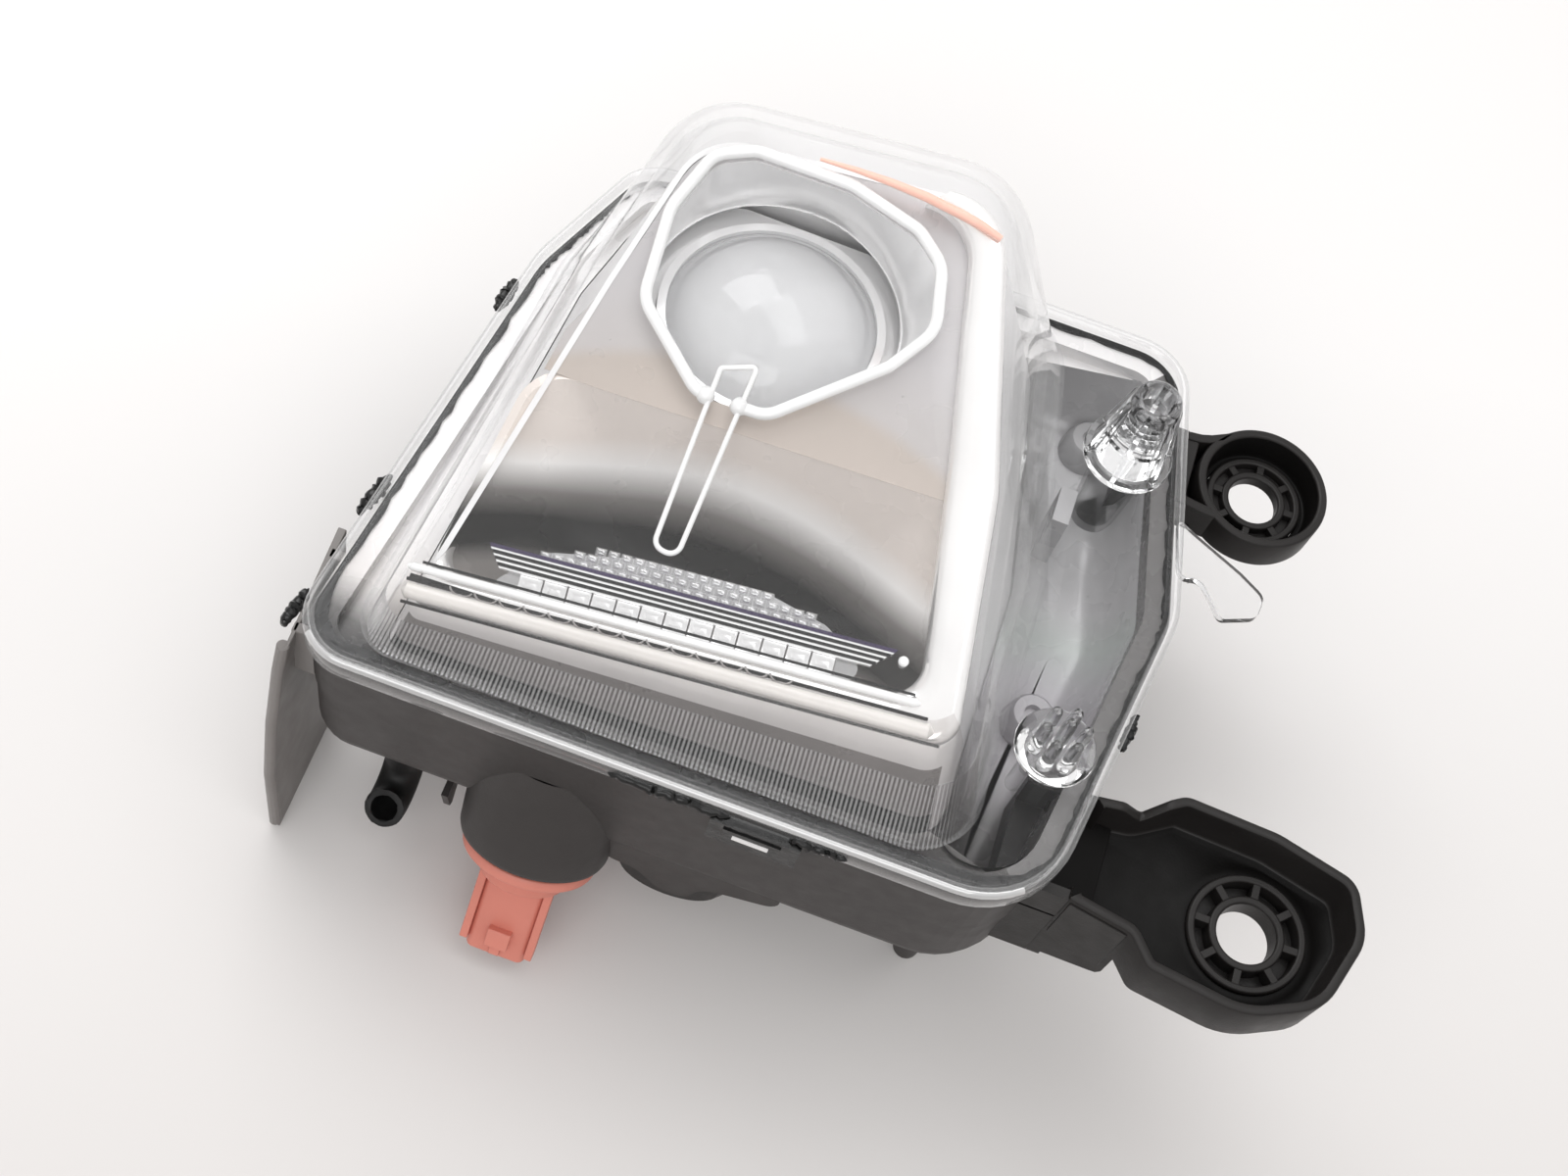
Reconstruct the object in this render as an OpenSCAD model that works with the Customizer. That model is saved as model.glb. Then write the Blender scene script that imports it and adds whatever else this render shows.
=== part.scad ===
// Car headlight assembly, lying on its back. Z points out through the lens, Y away from the front edge.
// Sizes are in millimetres. The origin is the centre of the lower mount bush.

/* [Flange] */
// Left end of the flange's front edge
flange_left = -118; // [-122:1:-114]
// Right end of the flange's front edge
flange_right = 92; // [88:1:96]
// How far the right edge bulges past the front right corner
flange_bulge = 15; // [10:1:20]
// Depth of the flange from front to back
flange_d = 189; // [187:1:194]
// Thickness of the clear flange
flange_t = 4; // [3:0.5:5]
// Thickness of the sealant between lens and housing
seal_t = 1; // [0.8:0.1:1.5]

/* [Outer lens] */
// Height of the lens face over the flange, at its middle
face_h = 46; // [42:1:50]
// Rise of the lens face towards the back, in degrees
face_rise = 21.1; // [19:0.1:23]
// Rise of the lens face towards the right, in degrees
face_lean = 3; // [2:0.1:4]
// Wall of the outer lens
lens_wall = 3; // [2.5:0.1:3.5]
// Crown of the lens face
face_crown = 3; // [1:0.5:5]
// Height of the upper clear post
post_h = 30; // [24:1:34]

/* [Housing] */
// Wall of the housing
wall = 3; // [2.5:0.5:3.5]
// Depth of the deep tub below the flange
tub_d = 80; // [78:1:84]
// Depth of the shallow right side below the flange
side_d = 66; // [60:1:70]
// Depth of the upright wall below the rim, on the other sides
skirt_d = 58; // [50:1:60]
// Height of the feet below the tub
foot_h = 35; // [34:0.5:38]

/* [Projector] */
// Projector axis, across
proj_x = -29; // [-31:0.5:-27]
// Projector axis, in from the flange's back edge
proj_back = 59.5; // [59:0.5:60]
// Diameter of the projector lens dome
proj_dia = 58.6; // [56:0.1:59]
// Height of the projector lens seat over the flange, before the flange's depth moves it
seat_z = 22; // [21:0.5:22.5]
// Radius of the reflector mouth
bowl_r = 38; // [36:0.5:38.5]

/* [Aiming] */
// Pivot axis, in front of the projector axis
pivot_gap = 49.5; // [49:0.5:51]
// Pivot axis, depth
pivot_z = -36; // [-37:0.5:-35]
// Pivot pin radius
pivot_r = 3; // [2.5:0.1:3.2]
// Aiming screw, across
screw_x = 42; // [41:0.5:43]
// Aiming screw, in from the flange's back edge
screw_back = 29; // [27:0.5:31]
// Aiming screw radius
screw_r = 3; // [2.5:0.1:3.2]

/* [Turn signal] */
// Socket centre, across
turn_x = -42.5; // [-45:0.5:-40]
// Socket face, front to back
turn_y = 2; // [1:0.5:3]
// Socket face, up from the tub's bottom
turn_up = 2.5; // [1:0.5:4]
// Tilt of the socket axis out of the vertical, in degrees
turn_tilt = 36.9; // [34:0.1:40]
// Radius of the socket flange
socket_r = 20; // [19:0.5:21]
// Length of the socket's connector
socket_l = 39; // [34:0.5:39]

/* [Mounts] */
// Lower mount, across
low_x = 150.5; // [149:0.5:152]
// Lower mount, front to back
low_y = 27; // [25:0.5:28]
// Lower mount, clamping face depth
low_z = -20; // [-21:0.5:-19]
// Lower mount hole radius
low_r = 8.5; // [8:0.1:9]
// Upper mount, across
up_x = 125; // [124:0.5:127]
// Upper mount, in from the flange's back edge
up_back = 22; // [21:0.5:23]
// Upper mount, clamping face depth
up_z = -28; // [-29:0.5:-27]
// Upper mount hole radius
up_r = 7.8; // [7:0.1:8.2]

/* [Hidden] */
$fn = 48;
// Points on each rounded corner
cn = 8;
// Running clearance of shafts, and plain clearance between bodies
run = 0.05;
gap = 0.4;
// Levels below the flange's top face
seal_top = -flange_t;
rim_top = seal_top - seal_t;
ledge_top = -10;
// Depth of the crease in the housing's outer wall
crease_d = 33;
rest_d = tub_d + foot_h;
can_end = -tub_d - 21;
turn_z = -tub_d + turn_up;
// Axes that follow the flange's back edge
proj_y = flange_d - proj_back;
pivot_y = proj_y - pivot_gap;
screw_y = flange_d - screw_back;
up_y = flange_d - up_back;
// Front of the hexagon in the face's axes, as the flange's depth moves it
hex_back = 189;
hex_y = flange_d - hex_back;
proj_z = seat_z + hex_y * sin(face_rise);
can_r = 46;
can_bore = 41.5;
// Unit axis of the turn-signal socket, pointing out of the housing
turn_axis = [0, -sin(turn_tilt), -cos(turn_tilt)];
// Outlines: [x, y, corner radius], counter-clockwise
rim = [[flange_left, -1, 16], [flange_right, 0, 28], [flange_right + flange_bulge, 100, 26],
    [flange_right - 2, flange_d, 18], [-84, flange_d - 3, 16], [-101, flange_d - 48, 40]];
base = [[-100, 11, 10], [67, 12, 16], [66, 95, 40], [50, flange_d - 6, 22], [-82, flange_d - 10, 20],
    [-91, flange_d - 49, 30]];
crest = [[-98.5, -78, 8], [60, -67.5, 12], [46, hex_y + 5, 40], [24.5, hex_y + 84, 22], [-66, hex_y + 77, 22],
    [-77.6, hex_y + 27, 150]];
// The same outline where the inner walls meet it, lower and nearer the front
crest_low = [for (p = crest) [p[0], p[1] - 4.6, p[2]]];
tub = [[-111, 6, 14], [65, 7, 20], [65, flange_d - 7, 14], [-79, flange_d - 8, 14], [-95, flange_d - 51, 40]];
hexa = [for (p = [[-40, 0, 4], [-21, 0, 4], [5, 23, 6], [13.5, 36, 8], [9.5, 53, 8], [1, 60, 8], [-20, 66, 10],
    [-47, 66.5, 8], [-57, 62, 6], [-63, 45, 10], [-61.5, 19, 6]]) [p[0], p[1] + hex_y, p[2]]];
bowl = [[-85, -66, 10], [44, -60, 12], [36, hex_y - 9, 14], [-72, hex_y - 10, 14]];
// Root of the lower arm on the housing's corner block, face of both blocks
root_x = 99;
root_y = 13;
root_w = 31.5;
arm = [[root_x, root_y, 1], [117, 10, 4], [123.5, 2.5, 5], [152, -1, 24], [172, 9, 16], [179.5, 32, 14],
    [174, 47.5, 8], [150, 53, 20], [123, 54, 6], [112, 46.5, 6],
    [root_x, root_y + root_w, 1]];

function unit(v) = v / norm(v);
function flat(p) = [p[0], p[1]];
function left_of(e) = [-e[1], e[0]];
function mean(r) = [for (k = [0:2]) [for (p = r) 1] * [for (p = r) p[k]] / len(r)];
function reversed(l) = [for (i = [len(l) - 1:-1:0]) l[i]];
// Outline moved inwards by d
function inset(o, d) = [for (i = [0:len(o) - 1])
    let (m = len(o))
    let (e1 = unit(flat(o[i]) - flat(o[(i + m - 1) % m])))
    let (e2 = unit(flat(o[(i + 1) % m]) - flat(o[i])))
    let (s = (left_of(e1) + left_of(e2)) * d / (1 + e1 * e2))
    let (turn = e1[0] * e2[1] - e1[1] * e2[0])
    [o[i][0] + s[0], o[i][1] + s[1], max(0.6, turn > 0 ? o[i][2] - d : o[i][2] + d)]];
// Points along one rounded corner
function corner(p, v, q, n) =
    let (u = unit(flat(p) - flat(v)))
    let (w = unit(flat(q) - flat(v)))
    let (half = acos(u * w) / 2)
    let (c = flat(v) + unit(u + w) * v[2] / sin(half))
    let (a = flat(v) + u * v[2] / tan(half) - c)
    let (side = u[0] * w[1] - u[1] * w[0] < 0 ? 1 : -1)
    [for (k = [0:n]) let (t = atan2(a[1], a[0]) + side * (180 - 2 * half) * k / n) c + v[2] * [cos(t), sin(t)]];
function rounded(o, n = cn) = [for (i = [0:len(o) - 1])
    each corner(o[(i + len(o) - 1) % len(o)], o[i], o[(i + 1) % len(o)], n)];
function ring(o, z, n = cn) = [for (p = rounded(o, n)) [p[0], p[1], z]];
// From the lens face's own axes to the lamp's
function tilt(p) =
    let (y = p[1] * cos(face_rise) - p[2] * sin(face_rise))
    let (z = p[1] * sin(face_rise) + p[2] * cos(face_rise))
    [p[0] * cos(face_lean) - z * sin(face_lean), 90 + y, face_h + p[0] * sin(face_lean) + z * cos(face_lean)];
function face_ring(o, z, n = cn) = [for (p = rounded(o, n)) tilt([p[0], p[1], z])];
// Rings of the lens skin from the flange up to the middle of the face
function lens_rings(d) =
    let (b = ring(inset(base, d), 0))
    let (t = face_ring(inset(crest, d), -d))
    let (m = mean(t))
    let (hub = [for (p = t) m])
    let (up = tilt([0, 0, 1]) - tilt([0, 0, 0]))
    let (w = 0.86 * t + 0.14 * b)
    let (f = 0.9 * t + 0.1 * hub)
    concat([ring(inset(base, d), -flange_t + 0.5), b, 0.5 * b + 0.5 * t],
        [for (s = [0:0.25:1]) (1 - s) * (1 - s) * w + 2 * s * (1 - s) * t + s * s * f],
        [for (s = [0.35, 0.7]) [for (i = [0:len(t) - 1])
            (1 - s) * t[i] + s * m + up * face_crown * (1 - pow(1 - s, 2))]]);

// Closed skin over rings of equal length
module skin(rings) {
    m = len(rings[0]);
    k = len(rings);
    polyhedron(convexity = 6,
        points = concat([for (r = rings) each r], [mean(rings[0]), mean(rings[k - 1])]),
        faces = concat(
            [for (i = [0:m - 1]) [m * k, i, (i + 1) % m]],
            [for (j = [0:k - 2]) for (i = [0:m - 1]) [j * m + i, j * m + m + i, j * m + m + (i + 1) % m]],
            [for (j = [0:k - 2]) for (i = [0:m - 1]) [j * m + i, j * m + m + (i + 1) % m, j * m + (i + 1) % m]],
            [for (i = [0:m - 1]) [m * k + 1, k * m - m + (i + 1) % m, k * m - m + i]]));
}
// Closed skin of a hoop: the last ring joins the first
module hoop(rings) {
    m = len(rings[0]);
    k = len(rings);
    polyhedron(convexity = 6, points = [for (r = rings) each r],
        faces = concat(
            [for (j = [0:k - 1]) for (i = [0:m - 1])
                [j * m + i, (j + 1) % k * m + i, (j + 1) % k * m + (i + 1) % m]],
            [for (j = [0:k - 1]) for (i = [0:m - 1])
                [j * m + i, (j + 1) % k * m + (i + 1) % m, j * m + (i + 1) % m]]));
}
module lamp() {
    translate([-low_x, -low_y, -low_z]) children();
}
// The lens face's own axes
module on_face() {
    translate([0, 90, face_h]) rotate([0, -face_lean, 0]) rotate([face_rise, 0, 0]) children();
}
module slab(o, z0, z1) {
    translate([0, 0, z0]) linear_extrude(z1 - z0) polygon(rounded(o));
}
module band(o, d0, d1, z0, z1) {
    translate([0, 0, z0]) linear_extrude(z1 - z0) difference() {
        polygon(rounded(inset(o, d0)));
        polygon(rounded(inset(o, d1)));
    }
}
module tube(r, bore, h) {
    difference() {
        cylinder(r = r, h = h);
        translate([0, 0, -1]) cylinder(r = bore, h = h + 2);
    }
}
// The socket's axes: Z points into the housing, from the boss face
module on_turn() {
    translate([turn_x, turn_y, turn_z]) rotate([-turn_tilt, 0, 0]) children();
}
module on_projector() {
    translate([proj_x, proj_y, 0]) children();
}
// Sectors of a ring, for bayonet lugs and notches
module sectors(r0, r1, h, count, width, turn) {
    for (k = [0:count - 1])
        rotate([0, 0, turn + k * 360 / count - width / 2])
            rotate_extrude(angle = width) translate([r0, 0]) square([r1 - r0, h]);
}
module left_part(x) {
    intersection() {
        children();
        translate([-300, -200, -300]) cube([300 + x, 600, 600]);
    }
}
module right_part(x) {
    intersection() {
        children();
        translate([x, -200, -300]) cube([300, 600, 600]);
    }
}

module tub_shell(d) {
    skin([ring(inset(tub, 10 + d), -tub_d + d), ring(inset(tub, 4 + d), -tub_d + 3.5 + d * 0.8),
        ring(inset(tub, 1 + d), -tub_d + 9 + d * 0.5), ring(inset(tub, d), -tub_d + 16),
        ring(inset(tub, d), -30 + d)]);
}
// Post that carries the lamp on its back
module foot(x, y, r, top) {
    translate([x, y, -rest_d]) cylinder(r1 = r, r2 = r + 2.5, h = rest_d + top);
}
module housing() {
    color([0.17, 0.165, 0.16]) lamp() difference() {
        union() {
            band(rim, 1.5, 9, -13, rim_top);
            band(rim, 1.5, 1.5 + wall, -crease_d, -13);
            right_part(62) band(rim, 2.2, 1.5 + wall, -side_d, -crease_d);
            right_part(62) slab(inset(rim, 2.2), -side_d, -side_d + wall);
            left_part(65) band(rim, 2.2, 1.5 + wall, -skirt_d, -crease_d);
            left_part(65) band(rim, 2.2, 9, -skirt_d, -skirt_d + wall);
            left_part(60) translate([0, 0, ledge_top - wall]) linear_extrude(wall) difference() {
                polygon(rounded(inset(rim, 3)));
                polygon(rounded(inset(base, 12)));
            }
            difference() {
                tub_shell(0);
                tub_shell(wall);
                right_part(55) translate([0, 10, -side_d + wall]) cube([80, flange_d - 26, 60]);
            }
            on_projector() translate([0, 0, can_end]) cylinder(r = can_r, h = -tub_d + 2 - can_end);
            on_turn() cylinder(r = 23, h = 26);
            // Rounded lug under the front wall, fin beside the vent
            translate([-2, 3, -tub_d + 4]) rotate([-90, 0, 0]) cylinder(r = 17, h = 9);
            translate([-72, 4, -tub_d - 12]) cube([2, 16, 16]);
            // Corner blocks that carry the arms
            difference() {
                union() {
                    translate([76, root_y, -52]) cube([root_x - 76, root_w, 30]);
                    for (y = [root_y, root_y + root_w - wall])
                        translate([76, y, -23]) cube([root_x - 76, wall, 14]);
                }
                slab(inset(rim, 2.5), -60, 0);
            }
            difference() {
                translate([80, up_y - 17, -60]) cube([root_x - 80, 27, 40]);
                slab(inset(rim, 2.5), -70, 0);
            }
            // Side skirt and its ribs
            translate([-121, 0, 0]) rotate([90, 0, 90]) linear_extrude(3.5)
                polygon([[5, -16], [3, -30], [0, -60], [-5, -86], [-9, -rest_d], [30, -rest_d],
                    [36, -90], [44, -16]]);
            translate([-119, 10, -36]) cube([10, 4, 20]);
            translate([-119, 34, -36]) cube([12, 4, 20]);
            foot(74, 25, 4, -side_d + 1);
            foot(54, proj_y + 10.5, 5, -tub_d + 1);
            foot(-72, proj_y + 36.5, 5, -tub_d + 1);
        }
        on_projector() translate([0, 0, can_end - 1]) cylinder(r = can_bore, h = 5);
        on_projector() translate([0, 0, can_end + 3.5])
            cylinder(r = can_bore + 2.6, h = -tub_d + wall - can_end);
        on_projector() translate([0, 0, can_end - 1]) sectors(can_bore - 1, can_bore + 2.3, 5, 3, 34, 30);
        on_turn() translate([0, 0, -2]) cylinder(r = 14.4, h = 60);
        on_turn() translate([0, 0, 3.5]) cylinder(r = 17.6, h = 60);
        on_turn() translate([0, 0, -1]) sectors(14, 17.4, 5, 3, 34, 60);
        translate([screw_x, screw_y, -tub_d - 1]) cylinder(r = screw_r + run, h = wall + 2);
        for (p = screw_points) translate(p) rotate([0, -90, 0]) cylinder(r = 2.5, h = 13);
    }
}
module sealant() {
    color([0.05, 0.05, 0.05]) lamp() band(rim, 2, 8.5, rim_top, seal_top);
}
// Black clips over the rim: [x, y, width along the edge]
clips = [[-103.5, 122, 10], [-112, 50, 14], [-117, 12, 12], [8, -1, 30], [103, 63, 15]];
module rim_clips() {
    color([0.06, 0.06, 0.06]) lamp() for (c = clips) intersection() {
        band(rim, -2.6, 0, -15, 0.6);
        translate([c[0], c[1], -8])
            cube([abs(c[0]) > 90 ? 16 : c[2], abs(c[0]) > 90 ? c[2] : 12, 30], center = true);
    }
}
module outer_lens() {
    color([0.86, 0.9, 0.93, 0.4]) lamp() union() {
        skin(concat(reversed(lens_rings(lens_wall)), lens_rings(0)));
        translate([0, 0, -flange_t]) linear_extrude(flange_t) difference() {
            polygon(rounded(rim));
            polygon(rounded([for (p = inset(base, lens_wall / 2)) [p[0], p[1], p[2] + 1.3]], cn + 1));
        }
        // Upper post: ribbed cone with a cup in its top, tube below the flange
        translate([79.5, up_y - 20, 0]) difference() {
            union() {
                translate([0, 0, -1]) cylinder(r1 = 11, r2 = 6.4, h = post_h + 1);
                translate([0, 0, -0.5]) cylinder(r = 13.3, h = 2.3);
                translate([0, 0, -36]) cylinder(r1 = 6.8, r2 = 8.6, h = 35.5);
                for (a = [20:60:330]) rotate([0, 0, a]) translate([0, -0.8, -0.5])
                    rotate([90, 0, 0]) translate([0, 0, -1.6]) linear_extrude(1.6)
                        polygon([[5, 0], [12.6, 0], [12.6, 2], [7.4, post_h - 3], [5, post_h - 3]]);
            }
            translate([0, 0, post_h - 7]) cylinder(r = 4.6, h = 8);
            translate([0, 0, -37]) cylinder(r = 5, h = 34);
        }
        // Lower post: saucer with a crown of pins, columns below the flange
        translate([82.5, 47.5, 0]) {
            translate([0, 0, -1]) cylinder(r1 = 8, r2 = 11.4, h = 4.5);
            for (k = [0:5]) rotate([0, 0, k * 60 + 15])
                translate([5.6, 0, 3]) cylinder(r1 = 1.9, r2 = 1.5, h = 14);
            translate([0, 0, 3]) cylinder(r1 = 2, r2 = 1.6, h = 18);
            for (k = [0:3]) rotate([0, 0, k * 90 + 20]) translate([4.6, 0, -23]) cylinder(r = 2.6, h = 22);
        }
        // Side lug
        translate([0, 0, -3.5]) linear_extrude(2.5)
            polygon([[99, 133], [104, 112], [109, 117], [118, 106], [128, 110.5], [129, 118],
                [120.5, 123], [105, 130]]);
    }
}

// Screws through the arms' foot plates: point on the block face
screw_points = [[root_x, root_y + 8.5, -40], [root_x, root_y + 25, -40], [root_x, up_y - 11, -50],
    [root_x, up_y + 4, -50]];
plate_t = 4;
module bush(r, hole, h) {
    difference() {
        union() {
            tube(r, hole, h - 2);
            tube(hole + 2.2, hole, h);
            translate([0, 0, h - 2]) tube(r, r - 2.2, 2);
            for (k = [0:7]) rotate([0, 0, k * 45])
                translate([hole + 1.5, -1, h - 2.5]) cube([r - hole - 2.5, 2, 2.5]);
        }
        translate([0, 0, -1]) cylinder(r = hole, h = h + 2);
    }
}
bush_h = 8;
low_bush_r = 17;
up_bush_r = 15;
module lower_arm() {
    color([0.04, 0.04, 0.04]) lamp() difference() {
        union() {
            difference() {
                slab(arm, low_z - bush_h + 0.5, -8);
                slab(inset(arm, wall), low_z - 2, 0);
            }
            translate([root_x, root_y, -52]) cube([plate_t, root_w, low_z + 52]);
            translate([low_x, low_y, low_z - bush_h]) cylinder(r = low_bush_r + wall, h = 7);
            // Near cheek and gusset under the trough
            translate([root_x, root_y, 0]) rotate([90, 0, -9.5]) translate([0, 0, -wall]) linear_extrude(wall)
                polygon([[0, -50], [18, -43], [20, -40], [20, -26], [0, -26]]);
            translate([root_x, root_y + 18, 0]) rotate([90, 0, 0]) linear_extrude(wall)
                polygon([[0, -44], [0, -26], [32, -26]]);
        }
        // Root open under the flange, V notch in the far wall
        translate([root_x - 1, root_y + wall, low_z]) cube([plate_t + 2, root_w - 2 * wall, 20]);
        translate([113, 49, -3]) rotate([0, 45, 0]) cube([9, 16, 9], center = true);
        translate([low_x, low_y, low_z - bush_h - 1]) cylinder(r = low_bush_r, h = 20);
        for (p = screw_points) translate(p + [-1, 0, 0]) rotate([0, 90, 0]) cylinder(r = 2.7, h = plate_t + 2);
    }
}
module lower_bush() {
    color([0.07, 0.07, 0.07]) lamp() translate([low_x, low_y, low_z - bush_h]) bush(low_bush_r, low_r, bush_h);
}
cup_r = 20.5;
cup_top = up_z + 8;
up_bush_h = 4.5;
up_bot = up_z - up_bush_h;
module upper_arm() {
    color([0.04, 0.04, 0.04]) lamp() difference() {
        union() {
            translate([root_x, up_y - 17, -60]) cube([plate_t, 27, 40]);
            // Neck, hollow between its walls
            difference() {
                translate([0, up_y, up_bot]) linear_extrude(cup_top - up_bot)
                    polygon([[root_x, -15], [106, -16.5], [113, -16.5], [113, 16], [106, 11.5], [root_x, 10]]);
                translate([root_x + plate_t, up_y - 12, up_z - 1]) cube([3, 19.5, 20]);
            }
            translate([up_x, up_y, up_bot]) cylinder(r = cup_r, h = cup_top - up_bot);
        }
        translate([up_x, up_y, up_z - 2]) cylinder(r = cup_r - wall, h = 20);
        translate([up_x, up_y, up_bot - 1]) cylinder(r = up_bush_r, h = 20);
        for (p = screw_points) translate(p + [-1, 0, 0]) rotate([0, 90, 0]) cylinder(r = 2.7, h = plate_t + 2);
    }
}
module upper_bush() {
    color([0.07, 0.07, 0.07]) lamp() translate([up_x, up_y, up_bot]) bush(up_bush_r, up_r, up_bush_h);
}
module arm_screws() {
    color([0.5, 0.5, 0.5]) lamp() for (p = screw_points) translate(p + [plate_t, 0, 0]) rotate([0, 90, 0]) {
        translate([0, 0, -plate_t - 11]) cylinder(r = 2.4, h = plate_t + 12);
        cylinder(r = 5.2, h = 1);
        translate([0, 0, 1]) cylinder(r = 4.6, h = 3.2, $fn = 6);
    }
}

// Layers under the lens face, in the face's own axes
frame_top = -8;
frame_bot = -14;
plate_bot = frame_bot - 2.5;
// Lofted pieces stop just short of the flat faces they meet
seat = 0.03;
module bezel_frame() {
    color([0.8, 0.8, 0.8]) lamp() on_face() translate([0, 0, frame_bot]) linear_extrude(frame_top - frame_bot)
        difference() {
            polygon(rounded(inset(crest, 5)));
            polygon(rounded([[-84, -64, 6], [46, -54, 9], [36, hex_y + 4, 30], [17, hex_y + 69, 10],
                [-90, hex_y + 69, 1]]));
            polygon([[-100, -50], [-60, -50], [-60, hex_y + 62], [14, hex_y + 62], [14, hex_y + 100],
                [-100, hex_y + 100]]);
        }
}
module bezel_skirt() {
    color([0.6, 0.6, 0.6]) lamp() hoop([
        ring(inset(base, 5.5), ledge_top), face_ring(inset(crest_low, 4), frame_bot - seat),
        face_ring(inset(crest_low, 5.6), frame_bot - seat), ring(inset(base, 7.1), ledge_top)]);
}
module bezel_plate() {
    color([0.75, 0.75, 0.75]) lamp() on_face() translate([0, 0, plate_bot])
        linear_extrude(frame_bot - plate_bot) difference() {
            intersection() {
                polygon(rounded(inset(crest_low, 6.2)));
                translate([-100, hex_y - 13]) square([200, 200]);
            }
            polygon(rounded(hexa));
        }
}
// Points added along the long sides of ring r, in step with ring o
function dense(r, o) = [for (i = [0:len(r) - 1])
    let (j = (i + 1) % len(r))
    let (k = ceil(norm(o[j] - o[i]) / 5))
    for (s = [0:k - 1]) r[i] + (r[j] - r[i]) * s / k];
module hex_tunnel() {
    o = rounded(hexa);
    in = dense(o, o);
    out = dense(rounded(inset(hexa, -1.4)), o);
    function spot(q) = atan2(q[1] - hex_y - 37, q[0] - proj_x);
    function mouth(r, z) = [for (q = in)
        [proj_x + r * cos(spot(q)), proj_y + r * sin(spot(q)), z + 2.6 * sin(spot(q))]];
    function lip(pts) = [for (q = pts) tilt([q[0], q[1], plate_bot - seat])];
    color([0.85, 0.85, 0.85]) lamp() hoop([mouth(38.4, proj_z + 5), lip(out), lip(in), mouth(37, proj_z + 5)]);
}
module light_guide() {
    color([0.95, 0.95, 0.95]) lamp() on_face() translate([0, 0, frame_bot]) {
        linear_extrude(6) difference() {
            union() {
                polygon(rounded(inset(hexa, -2)));
                polygon([[-37, hex_y + 6], [-37.5, -38], [-36, -42], [-33, -44], [-30, -42], [-28.5, -38],
                    [-26, hex_y + 6]]);
            }
            polygon(rounded(hexa));
            polygon([[-34.6, hex_y + 2], [-35.2, -38], [-33, -41], [-31, -38], [-28.6, hex_y + 2]]);
        }
        linear_extrude(2.5)
            polygon([[-36, hex_y - 2], [-36.5, -38], [-33, -42], [-29.5, -38], [-27, hex_y - 2]]);
    }
}
module turn_reflector() {
    low = [[-70, -60, 14], [20, -56, 14], [12, -38, 10], [-62, -38, 10]];
    mid = [[-82, -66, 12], [38, -60, 14], [32, hex_y / 2 - 24, 12], [-74, hex_y / 2 - 24, 12]];
    color([0.82, 0.8, 0.78]) lamp() difference() {
        skin([face_ring(inset(low, 2.5), -44), face_ring(inset(mid, 2.5), -32),
            face_ring(inset(bowl, 5), plate_bot - seat), face_ring(bowl, plate_bot - seat),
            face_ring(bowl, plate_bot - 2), face_ring(inset(bowl, 2), plate_bot - 2.2),
            face_ring(mid, -34), face_ring(low, -46.5)]);
        on_turn() translate([0, 0, 20]) cylinder(r = 12.5, h = tub_d / cos(turn_tilt) - 38);
    }
}
module turn_optic() {
    color([0.9, 0.92, 0.95, 0.5]) lamp() on_face() translate([0, 0, plate_bot])
        linear_extrude(frame_bot - plate_bot) polygon([[-86, -68], [46, -58], [42, -46], [-84, -52]]);
}
module striped_bar() {
    color([0.35, 0.3, 0.42, 0.8]) lamp() on_face() translate([-23, -55, frame_bot]) rotate([0, 0, 3.5])
        for (k = [0:2]) translate([-55, -3.2 + k * 2.1, 0]) cube([110, 1.7 + (k < 2 ? 0.4 : 0), 5.5 + k * 0.7]);
}
module trim_bars() {
    color([0.93, 0.93, 0.95, 0.6]) lamp() on_face() translate([-20, -65, frame_top]) rotate([0, 0, 3.9])
        for (k = [0:1]) translate([-66, -3 + k * 4.4, 0]) cube([132, 2.6, 1.6]);
}
module amber_reflex() {
    color([0.95, 0.45, 0.25]) lamp() on_face() translate([0, 0, frame_top])
        translate([0, hex_y, 0]) linear_extrude(2) polygon([[-26, 70.5], [-4, 69], [9, 64.5], [19, 55.5],
            [22, 58], [14, 67.5], [4, 72.5], [-24, 74]]);
}
module vent_elbow() {
    color([0.03, 0.03, 0.03]) lamp() translate([-88, 17, -tub_d]) {
        translate([0, 0, -9]) tube(6, 4, 9);
        translate([0, -9, -9]) rotate([0, 90, 0]) rotate([0, 0, 90]) mirror([0, 1, 0])
            rotate_extrude(angle = 143) translate([9, 0]) difference() {
                circle(6);
                circle(4);
            }
    }
}
// Pivot lugs either side of the reflector, and the brackets outside them
lug_x = [proj_x - bowl_r - 13, proj_x + bowl_r + 5];
bracket_x = [lug_x[0] - 6, lug_x[1] + 10];
module pivot_brackets() {
    color([0.5, 0.5, 0.5]) lamp() for (k = [0, 1]) {
        translate([bracket_x[k], pivot_y - 7, -tub_d + wall]) cube([4, 14, tub_d - wall + pivot_z + 7]);
        translate([k == 0 ? bracket_x[k] + 3 : lug_x[k] - 1, pivot_y, pivot_z])
            rotate([0, 90, 0]) cylinder(r = pivot_r, h = 12);
    }
}
module main_connector() {
    color([0.08, 0.08, 0.08]) lamp() translate([80, 100, -side_d - 18]) difference() {
        translate([-10, -17, 0]) cube([20, 34, 18]);
        translate([-8, -15, -1]) cube([16, 30, 16]);
    }
}
module connector_pins() {
    color([0.8, 0.65, 0.3]) lamp() for (k = [-2:2]) for (s = [-1, 1])
        translate([80 + s * 3 - 0.5, 100 + k * 5 - 0.5, -side_d - 10]) cube([1, 1, 7]);
}

// Moving carrier of the projector
plate_z = pivot_z - 2;
// Right and back edges of the carrier plate, the back one clear of the tub's wall
edge_x = lug_x[1] + 8;
carrier_back = flange_d - 12.5;
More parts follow.
